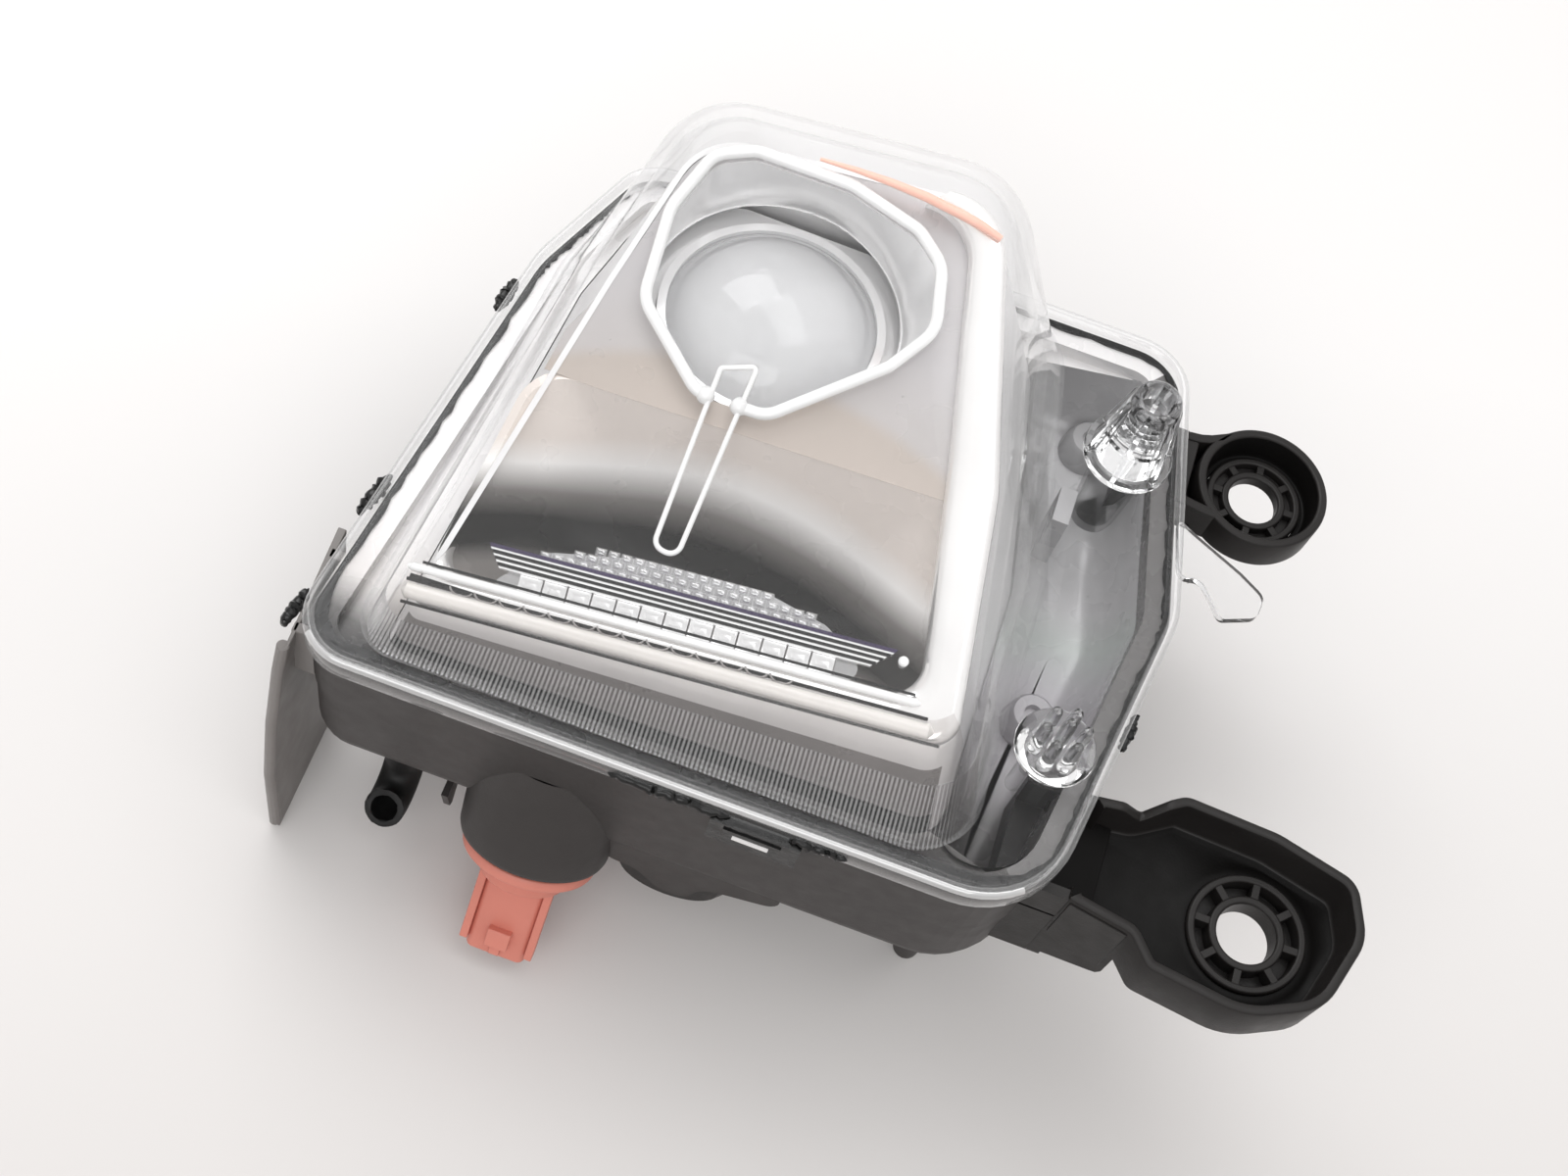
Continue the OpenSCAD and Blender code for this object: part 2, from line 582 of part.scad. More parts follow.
// Ball of the aiming nut
ball_r = 3.9;
ball_x = 28.5;
module ball(r) {
    rotate_extrude() polygon([for (a = [-90:15:90]) r * [cos(a), sin(a)]]);
}
module carrier_frame() {
    color([0.3, 0.3, 0.32]) lamp() difference() {
        union() {
            translate([0, 0, plate_z]) linear_extrude(4)
                polygon([[lug_x[0], pivot_y - 4], [edge_x, pivot_y - 4], [edge_x, carrier_back],
                    [lug_x[0] + 16, carrier_back], [lug_x[0], proj_y + 20.5]]);
            for (x = lug_x) {
                translate([x, pivot_y, pivot_z]) rotate([0, 90, 0]) cylinder(r = 7, h = 8);
                translate([x, pivot_y, plate_z]) cube([8, 12, 4]);
            }
            // Fork that holds the nut's ball
            translate([edge_x - 2, screw_y - 7, pivot_z - 10]) cube([36 - edge_x, 14, 20]);
        }
        on_projector() translate([0, 0, plate_z - 1]) cylinder(r = bowl_r + 3.2, h = 6);
        for (x = lug_x) translate([x - 1, pivot_y, pivot_z]) rotate([0, 90, 0])
            cylinder(r = pivot_r + run, h = 10);
        translate([ball_x - 4.5, screw_y, pivot_z]) rotate([0, 90, 0]) cylinder(r = ball_r + 0.7, h = 20);
    }
}
bowl_top = plate_z + 4;
module bowl_reflector() {
    color([0.85, 0.85, 0.86]) lamp() on_projector() rotate_extrude()
        polygon(concat(
            [for (s = [0:0.1:1]) [13 + (bowl_r - 13) * sqrt(s), bowl_top - 42 * (1 - s)]],
            [[bowl_r, bowl_top + 3], [bowl_r + 5, bowl_top + 3], [bowl_r + 5, bowl_top]],
            [[bowl_r + 2.4, bowl_top]],
            [for (s = [0.9:-0.1:0]) [15.5 + (bowl_r - 13) * sqrt(s), bowl_top - 42 * (1 - s)]]));
}
holder_z = bowl_top + 3;
hold_r = 32;
module lens_holder() {
    color([0.45, 0.45, 0.47]) lamp() on_projector() difference() {
        union() {
            translate([0, 0, holder_z]) tube(bowl_r + 5, 30, 3);
            translate([0, 0, holder_z]) tube(hold_r, 29.4, proj_z - holder_z);
        }
        translate([-50, -14, -10]) rotate([0, 90, 0]) cylinder(r = 1.5 + run, h = 100);
    }
}
module lens_retainer() {
    color([0.8, 0.8, 0.82]) lamp() on_projector() translate([0, 0, proj_z]) difference() {
        cylinder(r = 32, h = 4);
        translate([0, 0, -1]) cylinder(r = 30.6, h = 3.6);
        cylinder(r = proj_dia / 2 + 0.3, h = 10);
    }
}
module projector_lens() {
    cap = 16;
    dome_r = (pow(proj_dia / 2, 2) + pow(cap, 2)) / (2 * cap);
    color([0.8, 0.87, 0.92, 0.5]) lamp() on_projector() translate([0, 0, proj_z]) {
        cylinder(r = 30.4, h = 2.5);
        translate([0, 0, 2.5]) intersection() {
            translate([0, 0, cap - dome_r]) sphere(r = dome_r, $fn = 96);
            translate([0, 0, -1]) cylinder(r = proj_dia / 2, h = 40);
        }
    }
}
module main_bulb() {
    color([0.75, 0.75, 0.78]) lamp() on_projector() translate([0, 0, bowl_top - 42]) {
        translate([0, 0, -12]) cylinder(r = 10, h = 12);
        translate([0, 0, -5]) cylinder(r = 15.5, h = 5);
        translate([0, 0, -0.5]) cylinder(r = 4.6, h = 30);
        translate([0, 0, 29.5]) ball(5);
    }
}
module shield_drive() {
    color([0.25, 0.25, 0.25]) lamp() on_projector() translate([hold_r + 0.9, -12, holder_z + 3])
        cube([7.5, 24, 16]);
}
shield_y = -14;
shield_z = -10;
module cutoff_shield() {
    color([0.4, 0.4, 0.42]) lamp() on_projector() translate([0, shield_y, shield_z]) {
        rotate([0, 90, 0]) cylinder(r = 1.5, h = 56, center = true);
        translate([-18, -0.7, -14]) cube([36, 1.4, 15]);
    }
}
nut_z = pivot_z;
module aim_nut() {
    color([0.85, 0.83, 0.78]) lamp() difference() {
        union() {
            translate([screw_x - 5.5, screw_y - 6, nut_z - 5]) cube([12, 12, 10]);
            translate([ball_x, screw_y, nut_z]) rotate([0, 90, 0]) cylinder(r = 2.5, h = screw_x - 5 - ball_x);
            translate([ball_x, screw_y, nut_z]) rotate([0, 90, 0]) ball(ball_r);
        }
        translate([screw_x, screw_y, nut_z - 10]) cylinder(r = screw_r + run, h = 20);
    }
}
module aim_screw() {
    color([0.6, 0.6, 0.62]) lamp() translate([screw_x, screw_y, 0]) {
        translate([0, 0, -tub_d - 6]) cylinder(r = screw_r, h = tub_d + 6 - 20);
        translate([0, 0, -tub_d - 10]) difference() {
            cylinder(r = 5.5, h = 10 - gap);
            translate([0, 0, -1]) cylinder(r = 3, h = 6, $fn = 6);
        }
        translate([0, 0, -tub_d + wall + gap]) cylinder(r = 5, h = 2);
    }
}

// Turn-signal bulb socket, in its own axes
module turn_socket() {
    color([0.91, 0.56, 0.48]) lamp() on_turn() difference() {
        union() {
            translate([0, 0, -5]) cylinder(r = socket_r, h = 4);
            translate([0, 0, -1]) cylinder(r = 14, h = 24);
            translate([0, 0, 4]) sectors(13, 17.1, 4, 3, 26, 0);
            translate([-9, -6, -socket_l]) cube([18, 13, socket_l - 4]);
            for (s = [-1, 1]) translate([s * 10 - 1.2, -7, -socket_l + 4]) cube([2.4, 4.5, socket_l - 8]);
            translate([-3.5, -8.5, -socket_l + 4]) cube([7, 3, 6]);
        }
        translate([-7, -4, -socket_l - 1]) cube([14, 9, 19]);
        translate([0, 0, 6]) cylinder(r = 9.3, h = 20);
    }
}
module turn_seal() {
    color([0.06, 0.06, 0.06]) lamp() on_turn() translate([0, 0, -1]) tube(18.5, 14.1, 1 - 0.2);
}
module turn_bulb() {
    color([0.95, 0.6, 0.2]) lamp() on_turn() {
        translate([0, 0, 6]) cylinder(r = 9.2, h = 20);
        translate([0, 0, 25.5]) cylinder(r = 9.6, h = 32);
        translate([0, 0, 57.5]) ball(10);
    }
}
module turn_terminals() {
    color([0.8, 0.68, 0.4]) lamp() on_turn() for (s = [-1, 1])
        translate([s * 3.5 - 1.2, 0, -socket_l + 9]) cube([2.4, 0.8, 9]);
}

module rear_cover() {
    color([0.05, 0.05, 0.05]) lamp() on_projector() difference() {
        union() {
            translate([0, 0, can_end - 6]) cylinder(r = 47, h = 4);
            translate([0, 0, can_end - 2]) cylinder(r = can_bore - gap, h = 9);
            translate([0, 0, can_end + 4]) sectors(can_bore - 2, can_bore + 2, 3, 3, 26, 0);
            translate([-30, -3, can_end - 8.5]) cube([60, 6, 3]);
        }
        translate([0, 0, can_end - 1]) cylinder(r = can_bore - 3.5, h = 10);
    }
}
module cover_seal() {
    color([0.08, 0.08, 0.08]) lamp() on_projector() translate([0, 0, can_end - 2]) tube(45.6, 41.6, 2 - 0.2);
}

housing();
sealant();
rim_clips();
outer_lens();
lower_arm();
lower_bush();
upper_arm();
upper_bush();
arm_screws();
bezel_frame();
bezel_skirt();
bezel_plate();
hex_tunnel();
light_guide();
turn_reflector();
turn_optic();
striped_bar();
trim_bars();
amber_reflex();
vent_elbow();
pivot_brackets();
main_connector();
connector_pins();
carrier_frame();
bowl_reflector();
lens_holder();
lens_retainer();
projector_lens();
main_bulb();
shield_drive();
cutoff_shield();
aim_nut();
aim_screw();
turn_socket();
turn_seal();
turn_bulb();
turn_terminals();
rear_cover();
cover_seal();
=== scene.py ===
import math
import random

import bmesh
import bpy
from mathutils import Matrix, Vector


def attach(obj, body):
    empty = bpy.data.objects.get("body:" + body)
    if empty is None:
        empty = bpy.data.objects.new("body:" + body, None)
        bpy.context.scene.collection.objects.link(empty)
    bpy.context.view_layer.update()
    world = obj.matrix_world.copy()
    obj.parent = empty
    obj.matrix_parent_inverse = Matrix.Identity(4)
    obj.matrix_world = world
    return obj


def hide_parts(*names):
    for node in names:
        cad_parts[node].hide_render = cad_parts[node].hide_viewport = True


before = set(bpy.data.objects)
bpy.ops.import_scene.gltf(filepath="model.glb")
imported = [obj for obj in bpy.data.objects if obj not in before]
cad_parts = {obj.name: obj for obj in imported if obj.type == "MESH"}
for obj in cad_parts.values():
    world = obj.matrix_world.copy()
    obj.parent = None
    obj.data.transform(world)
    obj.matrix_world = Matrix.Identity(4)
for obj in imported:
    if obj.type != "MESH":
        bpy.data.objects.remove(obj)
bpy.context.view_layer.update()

# Lengths are in millimetres in the flange's axes: z 0 on the clear flange's top face, y 0 at its
# front edge. The frame's origin is the lower mount, so at() moves a point there and turns it to metres.
FLANGE_ORIGIN = Vector((-150.5, -27.0, 20.0))
FACE_MIDDLE = Vector((0.0, 90.0, 46.0))
FACE_RISE = math.radians(21.1)
FACE_LEAN = math.radians(3.0)
FLOOR_Z = -115.0
FLANGE_T = 4.0
LENS_WALL = 3.0
FACE_CROWN = 3.0
PROJECTOR = Vector((-29.0, 129.5, 0.0))
TURN_FACE = Vector((-42.5, 2.0, -77.5))
TURN_TILT = 36.9
LOWER_MOUNT = Vector((150.5, 27.0, -20.0))
UPPER_MOUNT = Vector((125.0, 167.0, -28.0))
UPPER_POST = Vector((79.5, 147.0, 0.0))
LOWER_POST = Vector((82.5, 47.5, 0.0))
FRAME_TOP = -8.0
FRAME_BOT = -14.0
PLATE_BOT = -16.5
SKIRT_BACK = 166.2
LIP_FOOT = -66.0
TUB_FLOOR = -80.0
TUB_INSIDE = -77.0
LEDGE_Z = -9.6
CREASE_Z = -33.0
CAN_BORE = 44.1
POCKET_FLOOR = -38.0
PANEL_TOP = -16.0
PANEL_BOW = 3.0
CAMERA_LENS = 49.5
CAMERA_SENSOR = 36
CAMERA_PLACE = (-0.1505, -0.2407, 0.535)
CAMERA_RIGHT = Vector((0.9367, 0.3078, 0.1671)).normalized()
CAMERA_LOOK = Vector((0, 0.4772, -0.8788)).normalized()
LAMP_TARGET = (-0.15, 0.05, 0.0)
LIGHT_LEVEL = 0.88
FLOOR_REACH = 4.0

# Outlines as (x, y, corner radius), counter-clockwise. CREST, INNER, HEXA and BOWL lie in the face's axes.
RIM = [(-118, -1, 16), (92, 0, 28), (107, 100, 26), (90, 189, 18), (-84, 186, 16), (-101, 141, 40)]
BASE = [(-100, 8, 10), (67, 9.5, 16), (66, 95, 40), (50, 183, 22), (-82, 179, 20), (-91, 140, 30)]
CREST = [(-98.5, -78, 8), (60, -67.5, 12), (46, 5, 40), (24.5, 84, 22), (-66, 77, 22), (-77.6, 27, 150)]
INNER = [(-88, -67.5, 6), (41.5, -58.5, 9), (28.5, 4, 30), (13.5, 69, 16), (-60, 66, 12), (-71, 24, 90)]
TUB = [(-111, 6, 14), (65, 7, 20), (65, 182, 14), (-79, 181, 14), (-95, 138, 40)]
HEXA = [(-40, 0, 8), (-21, 0, 8), (5, 23, 9), (13.5, 36, 10), (9.5, 53, 10), (1, 60, 8), (-20, 66, 14),
        (-47, 66.5, 8), (-57, 62, 7), (-63, 45, 14), (-61.5, 19, 9)]
BOWL = [([(-92, -70, 8), (51, -61, 12), (42, -3, 14), (-84, -5, 14)], FRAME_BOT - 0.3),
        ([(-89, -69, 12), (48, -60, 14), (38, -9, 18), (-79, -11, 18)], -21),
        ([(-82, -66, 14), (38, -58, 16), (31, -19, 22), (-70, -20, 22)], -30),
        ([(-75, -62, 13), (27, -57, 13), (23, -29, 12), (-65, -29, 12)], -38),
        ([(-69, -59, 8), (19, -55, 8), (13, -37, 7), (-61, -37, 7)], -44)]
ARM = [(99, 13, 1), (117, 10, 4), (123.5, 2.5, 5), (152, -1, 24), (172, 9, 16), (179.5, 32, 14), (174, 47.5, 8),
       (150, 53, 20), (123, 54, 6), (112, 46.5, 6), (99, 44.5, 1)]
LUG = [(99, 133, 1), (104, 112, 3), (109, 117, 3), (118, 106, 2), (128, 110.5, 4), (129, 118, 4),
       (120.5, 123, 6), (105, 130, 4)]
TRAY = [(61, 14, 8), (84.5, 9.5, 16), (98.6, 100, 24), (82.6, 180, 10), (46, 180, 6), (60.5, 96, 40)]
FLAP = [(-24, -58, 2), (-22, -74, 5), (-12, -75, 8), (-4, -84, 6), (4, -85, 5), (8, -72, 10), (30, -66, 6),
        (30, -58, 2)]
OPTIC_SLAB = [(-52, -6, 2), (-46, -13, 3), (40, -13, 3), (48, -4, 3), (36, 5, 6), (18, 9.5, 20),
              (-16, 9.5, 20), (-40, 5, 8)]
# Steps on each corner's arc and on each straight side of the lens
LENS_STEPS = (10, 12)


def at(p):
    return (Vector(p) + FLANGE_ORIGIN) / 1000


def tilt(x, y, z):
    """A point in the face's axes, given in the flange's axes."""
    back = y * math.cos(FACE_RISE) - z * math.sin(FACE_RISE)
    up = y * math.sin(FACE_RISE) + z * math.cos(FACE_RISE)
    across = x * math.cos(FACE_LEAN) - up * math.sin(FACE_LEAN)
    return FACE_MIDDLE + Vector((across, back, x * math.sin(FACE_LEAN) + up * math.cos(FACE_LEAN)))


def spin(degrees, axis="Z"):
    return Matrix.Rotation(math.radians(degrees), 4, axis)


def shift(x, y, z=0.0):
    return Matrix.Translation((x, y, z))


def face_matrix():
    """From the face's axes to the flange's."""
    x = tilt(1, 0, 0) - tilt(0, 0, 0)
    y = tilt(0, 1, 0) - tilt(0, 0, 0)
    z = tilt(0, 0, 1) - tilt(0, 0, 0)
    m = Matrix((x, y, z)).transposed().to_4x4()
    m.translation = FACE_MIDDLE
    return m


UPRIGHT = spin(90, "X")
SOCKET = Matrix.Translation(TURN_FACE) @ spin(-TURN_TILT, "X")


def inset(outline, d):
    """The outline moved inwards by d."""
    out = []
    n = len(outline)
    for i, (x, y, r) in enumerate(outline):
        a = Vector(outline[i - 1][:2])
        b = Vector((x, y))
        c = Vector(outline[(i + 1) % n][:2])
        e1 = (b - a).normalized()
        e2 = (c - b).normalized()
        side = Vector((-e1.y - e2.y, e1.x + e2.x)) * d / (1 + e1.dot(e2))
        turn = e1.x * e2.y - e1.y * e2.x
        out.append((x + side.x, y + side.y, max(0.6, r - d if turn > 0 else r + d)))
    return out


def rounded(outline, n=8, m=1):
    """Points round the outline: n steps on each corner's arc and m on each straight side."""
    count = len(outline)
    arcs = []
    for i, (x, y, r) in enumerate(outline):
        v = Vector((x, y))
        u = (Vector(outline[i - 1][:2]) - v).normalized()
        w = (Vector(outline[(i + 1) % count][:2]) - v).normalized()
        half = math.acos(max(-1, min(1, u.dot(w)))) / 2
        c = v + (u + w).normalized() * r / math.sin(half)
        a = v + u * r / math.tan(half) - c
        side = 1 if u.x * w.y - u.y * w.x < 0 else -1
        start = math.atan2(a.y, a.x)
        sweep = side * (math.pi - 2 * half)
        arcs.append([c + r * Vector((math.cos(start + sweep * k / n), math.sin(start + sweep * k / n)))
                     for k in range(n + 1)])
    points = []
    for i, arc in enumerate(arcs):
        points += arc
        following = arcs[(i + 1) % count][0]
        points += [arc[-1].lerp(following, k / m) for k in range(1, m)]
    return points


def spokes(outline, inner, middle):
    """Points of a rounded outline, one on the ray from the middle through each inner point."""
    edge = rounded(outline, 10, 20)
    out = []
    for p in inner:
        ray = (p - middle).normalized()
        best = None
        for a, b in zip(edge, edge[1:] + edge[:1]):
            side = b - a
            cross = ray.x * side.y - ray.y * side.x
            if abs(cross) < 1e-9:
                continue
            reach = ((a.x - middle.x) * side.y - (a.y - middle.y) * side.x) / cross
            share = ((a.x - middle.x) * ray.y - (a.y - middle.y) * ray.x) / cross
            if reach > 0 and -1e-6 <= share <= 1 + 1e-6 and (best is None or reach > best):
                best = reach
        out.append(middle + ray * best)
    return out


def flat(*points):
    return [Vector(p) for p in points]


def level(points, z):
    return [Vector((p.x, p.y, z)) for p in points]


def on_face(points, z):
    return [tilt(p.x, p.y, z) for p in points]


def hoop(outline, d, z, n, m):
    """The outline moved inwards by d, level at z."""
    return level(rounded(inset(outline, d), n, m), z)


def hoops(outline, row, n, m):
    return [hoop(outline, d, z, n, m) for d, z in row]


def mix(a, b, s):
    return [p.lerp(q, s) for p, q in zip(a, b)]


def circle(r, z, n=48, middle=(0, 0)):
    turn = 2 * math.pi / n
    x, y = middle
    return [Vector((x + r * math.cos(k * turn), y + r * math.sin(k * turn), z)) for k in range(n)]


def rect(x, y, z):
    """A level rectangle from its half sides."""
    return flat((-x, -y, z), (x, -y, z), (x, y, z), (-x, y, z))


class Shape:
    """A mesh under construction, in the flange's axes."""

    def __init__(self):
        self.points = []
        self.faces = []
        self.slots = []

    def add(self, points, faces, slot=0, place=None):
        start = len(self.points)
        self.points += [place @ Vector(p) if place else Vector(p) for p in points]
        self.faces += [[start + i for i in f] for f in faces]
        self.slots += [slot] * len(faces)

    def loft(self, rings, slot=0, wrap=True, close=False, caps=(False, False), place=None):
        """A skin over rings of equal length. close joins the last ring to the first."""
        n = len(rings[0])
        k = len(rings)
        faces = []
        for j in range(k if close else k - 1):
            nxt = (j + 1) % k
            for i in range(n if wrap else n - 1):
                a = (i + 1) % n
                faces.append([j * n + i, j * n + a, nxt * n + a, nxt * n + i])
        if caps[0]:
            faces.append(list(range(n))[::-1])
        if caps[1]:
            faces.append([(k - 1) * n + i for i in range(n)])
        self.add([p for r in rings for p in r], faces, slot, place)

    def part(self, rings, start, stop, slot=0, close=False):
        """A skin over the points start to stop of each ring, round past the end."""
        n = len(rings[0])
        self.loft([[r[k % n] for k in range(start, stop + 1)] for r in rings], slot, wrap=False, close=close)

    def fan(self, ring, middle):
        n = len(ring)
        self.add(list(ring) + [middle], [[i, (i + 1) % n, n] for i in range(n)])

    def prism(self, points, z0, z1, slot=0, place=None):
        self.loft([level(points, z0), level(points, z1)], slot, caps=(True, True), place=place)

    def box(self, low, high, slot=0, place=None):
        ring = flat((low[0], low[1]), (high[0], low[1]), (high[0], high[1]), (low[0], high[1]))
        self.prism(ring, low[2], high[2], slot, place)

    def turned(self, profile, slot=0, place=None, n=48, close=True):
        """A body of revolution about Z from (radius, height) points."""
        self.loft([circle(max(r, 0.01), z, n) for r, z in profile], slot, close=close, place=place)

    def lugs(self, place, inner, outer, low, high):
        """Three bayonet lugs of 26 degrees each."""
        spans = ((outer, range(0, 27, 2)), (inner, range(26, -1, -2)))
        arc = [Vector((r * math.cos(a), r * math.sin(a))) for r, span in spans for a in map(math.radians, span)]
        for k in range(3):
            self.prism(arc, low, high, place=place @ spin(120 * k - 13))

    def rod(self, path, r, slot=0, n=12, ends=True, loop=False):
        """A round bar along a path. r may be one radius or a list."""
        rings = []
        last = len(path) - 1
        side = None
        for i, p in enumerate(path):
            before = path[i - 1] if i > 0 or loop else p
            after = path[(i + 1) % len(path)] if i < last or loop else p
            run = (Vector(after) - Vector(before)).normalized()
            if side is None:
                side = run.orthogonal().normalized()
            side = (side - run * side.dot(run)).normalized()
            up = run.cross(side)
            size = r[i] if isinstance(r, (list, tuple)) else r
            turn = 2 * math.pi / n
            rings.append([Vector(p) + size * (side * math.cos(k * turn) + up * math.sin(k * turn))
                          for k in range(n)])
        self.loft(rings, slot, close=loop, caps=(ends and not loop, ends and not loop))

    def done(self, name, materials, body="housing", slot=None, replaces=(), angle=35, bevel=0):
        """Makes the piece, with edges sharper than the angle kept sharp or bevelled."""
        mesh = bpy.data.meshes.new(name)
        mesh.from_pydata([at(p) for p in self.points], [], self.faces)
        work = bmesh.new()
        work.from_mesh(mesh)
        work.faces.ensure_lookup_table()
        for face, index in zip(work.faces, self.slots):
            face.material_index = index
            face.smooth = True
        bmesh.ops.remove_doubles(work, verts=work.verts, dist=1e-6)
        bmesh.ops.recalc_face_normals(work, faces=work.faces)
        limit = math.radians(angle)
        for edge in work.edges:
            edge.smooth = edge.calc_face_angle(0) < limit
        work.to_mesh(mesh)
        work.free()
        for m in materials:
            mesh.materials.append(m)
        piece = bpy.data.objects.new(name, mesh)
        bpy.context.scene.collection.objects.link(piece)
        if bevel:
            mod = piece.modifiers.new("edges", "BEVEL")
            mod.width = bevel / 1000
            mod.segments = 2
            mod.limit_method = "ANGLE"
            mod.angle_limit = limit
            mod.harden_normals = False
        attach(piece, body)
        if replaces:
            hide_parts(*replaces)


# Materials

def new_material(name):
    mat = bpy.data.materials.new(name)
    mat.use_nodes = True
    tree = mat.node_tree
    return mat, tree, tree.nodes["Principled BSDF"]


def node_of(tree, kind, **values):
    node = tree.nodes.new(kind)
    for key, value in values.items():
        node.inputs[key].default_value = value
    return node


def maths(tree, operation, *values):
    """Result of a math node on sockets and numbers."""
    node = tree.nodes.new("ShaderNodeMath")
    node.operation = operation
    for socket, value in zip(node.inputs, values):
        if isinstance(value, (int, float)):
            socket.default_value = value
        else:
            tree.links.new(value, socket)
    return node.outputs["Value"]


def noise(tree, scale, detail):
    place = tree.nodes.new("ShaderNodeTexCoord")
    node = node_of(tree, "ShaderNodeTexNoise", Scale=scale, Detail=detail, Roughness=0.5)
    tree.links.new(place.outputs["Object"], node.inputs["Vector"])
    return node.outputs["Fac"]


def axes(tree, vector):
    split = tree.nodes.new("ShaderNodeSeparateXYZ")
    tree.links.new(vector, split.inputs["Vector"])
    return split.outputs


def coordinates(tree, kind="Object"):
    return tree.nodes.new("ShaderNodeTexCoord").outputs[kind]


def paint(tree, source, stops, target):
    """Colours a socket by a ramp of (position, colour) stops."""
    node = tree.nodes.new("ShaderNodeValToRGB")
    elements = node.color_ramp.elements
    for element, (position, colour) in zip(elements, (stops[0], stops[-1])):
        element.position = position
        element.color = (*colour, 1)
    for position, colour in stops[1:-1]:
        elements.new(position).color = (*colour, 1)
    tree.links.new(source, node.inputs["Fac"])
    tree.links.new(node.outputs["Color"], target)


def spread(tree, source, low, high, start=0.3, end=0.7):
    limits = {"From Min": start, "From Max": end, "To Min": low, "To Max": high}
    node = node_of(tree, "ShaderNodeMapRange", **limits)
    tree.links.new(source, node.inputs["Value"])
    return node.outputs["Result"]


def uneven_gloss(tree, bsdf, scale, detail, low, high):
    tree.links.new(spread(tree, noise(tree, scale, detail), low, high), bsdf.inputs["Roughness"])


def blend(tree, share, first, second):
    """Gives the material a mix of two shaders."""
    node = tree.nodes.new("ShaderNodeMixShader")
    tree.links.new(share, node.inputs["Fac"])
    tree.links.new(first.outputs["BSDF"], node.inputs[1])
    tree.links.new(second.outputs["BSDF"], node.inputs[2])
    tree.links.new(node.outputs["Shader"], tree.nodes["Material Output"].inputs["Surface"])


def plastic(name, colour, vary=0.18, rough=(0.4, 0.55), grain=1400, depth=0.00004, metallic=0.0, coat=0.0,
            spec=0.5):
    """Moulded plastic or metal with a cloudy colour, uneven gloss and a fine grain."""
    mat, tree, bsdf = new_material(name)
    stops = [(0.3, [c * (1 - vary) for c in colour]), (0.7, [min(1, c * (1 + vary)) for c in colour])]
    paint(tree, noise(tree, 45, 4), stops, bsdf.inputs["Base Color"])
    uneven_gloss(tree, bsdf, 160, 4, *rough)
    bump = node_of(tree, "ShaderNodeBump", Strength=1.0, Distance=depth)
    tree.links.new(noise(tree, grain, 2), bump.inputs["Height"])
    tree.links.new(bump.outputs["Normal"], bsdf.inputs["Normal"])
    bsdf.inputs["Metallic"].default_value = metallic
    bsdf.inputs["Coat Weight"].default_value = coat
    bsdf.inputs["Specular IOR Level"].default_value = spec
    return mat


def clear_solid(name, colour, ior=1.49, milk=0.0):
    """Thick clear plastic that bends light. milk is the share that scatters instead."""
    mat, tree, bsdf = new_material(name)
    bsdf.inputs["Transmission Weight"].default_value = 1.0 - milk
    bsdf.inputs["IOR"].default_value = ior
    stops = [(0.3, [c * 0.985 for c in colour]), (0.7, colour)]
    paint(tree, noise(tree, 30, 2), stops, bsdf.inputs["Base Color"])
    uneven_gloss(tree, bsdf, 90, 3, 0.015, 0.05)
    # Shadow rays pass, so that what lies behind the clear plastic is lit
    through = node_of(tree, "ShaderNodeBsdfTransparent", Color=(*[c * 0.97 for c in colour], 1))
    blend(tree, tree.nodes.new("ShaderNodeLightPath").outputs["Is Shadow Ray"], bsdf, through)
    return mat


def clear_film(name, tint, haze=0.03, rough=0.06, power=4.0, metal=0.5, sheen=0.95):
    """Thin clear wall: what lies behind shows unbent, under a sheen that grows at the edges."""
    mat, tree, bsdf = new_material(name)
    through = tree.nodes.new("ShaderNodeBsdfTransparent")
    paint(tree, noise(tree, 25, 3), [(0.3, [c * 0.985 for c in tint]), (0.7, tint)], through.inputs["Color"])
    bsdf.inputs["Base Color"].default_value = (sheen, sheen, sheen, 1)
    bsdf.inputs["Metallic"].default_value = metal
    uneven_gloss(tree, bsdf, 120, 3, rough * 0.6, rough * 1.4)
    edge = node_of(tree, "ShaderNodeLayerWeight", Blend=0.5)
    steep = maths(tree, "POWER", edge.outputs["Facing"], power)
    blend(tree, maths(tree, "MULTIPLY_ADD", steep, 0.9 - haze, haze), through, bsdf)
    return mat


def arch(tree):
    """Distance up the lens face, bent so that equal values form arches, in metres."""
    middle = 0.02
    bend = 4.2
    offset = tree.nodes.new("ShaderNodeVectorMath")
    offset.operation = "SUBTRACT"
    offset.inputs[1].default_value = at(FACE_MIDDLE)
    tree.links.new(coordinates(tree), offset.inputs[0])
    along = tree.nodes.new("ShaderNodeVectorMath")
    along.operation = "DOT_PRODUCT"
    along.inputs[1].default_value = (0, math.cos(FACE_RISE), math.sin(FACE_RISE))
    tree.links.new(offset.outputs["Vector"], along.inputs[0])
    side = maths(tree, "ADD", axes(tree, offset.outputs["Vector"])["X"], middle)
    return maths(tree, "MULTIPLY_ADD", maths(tree, "MULTIPLY", side, side), bend, along.outputs["Value"])


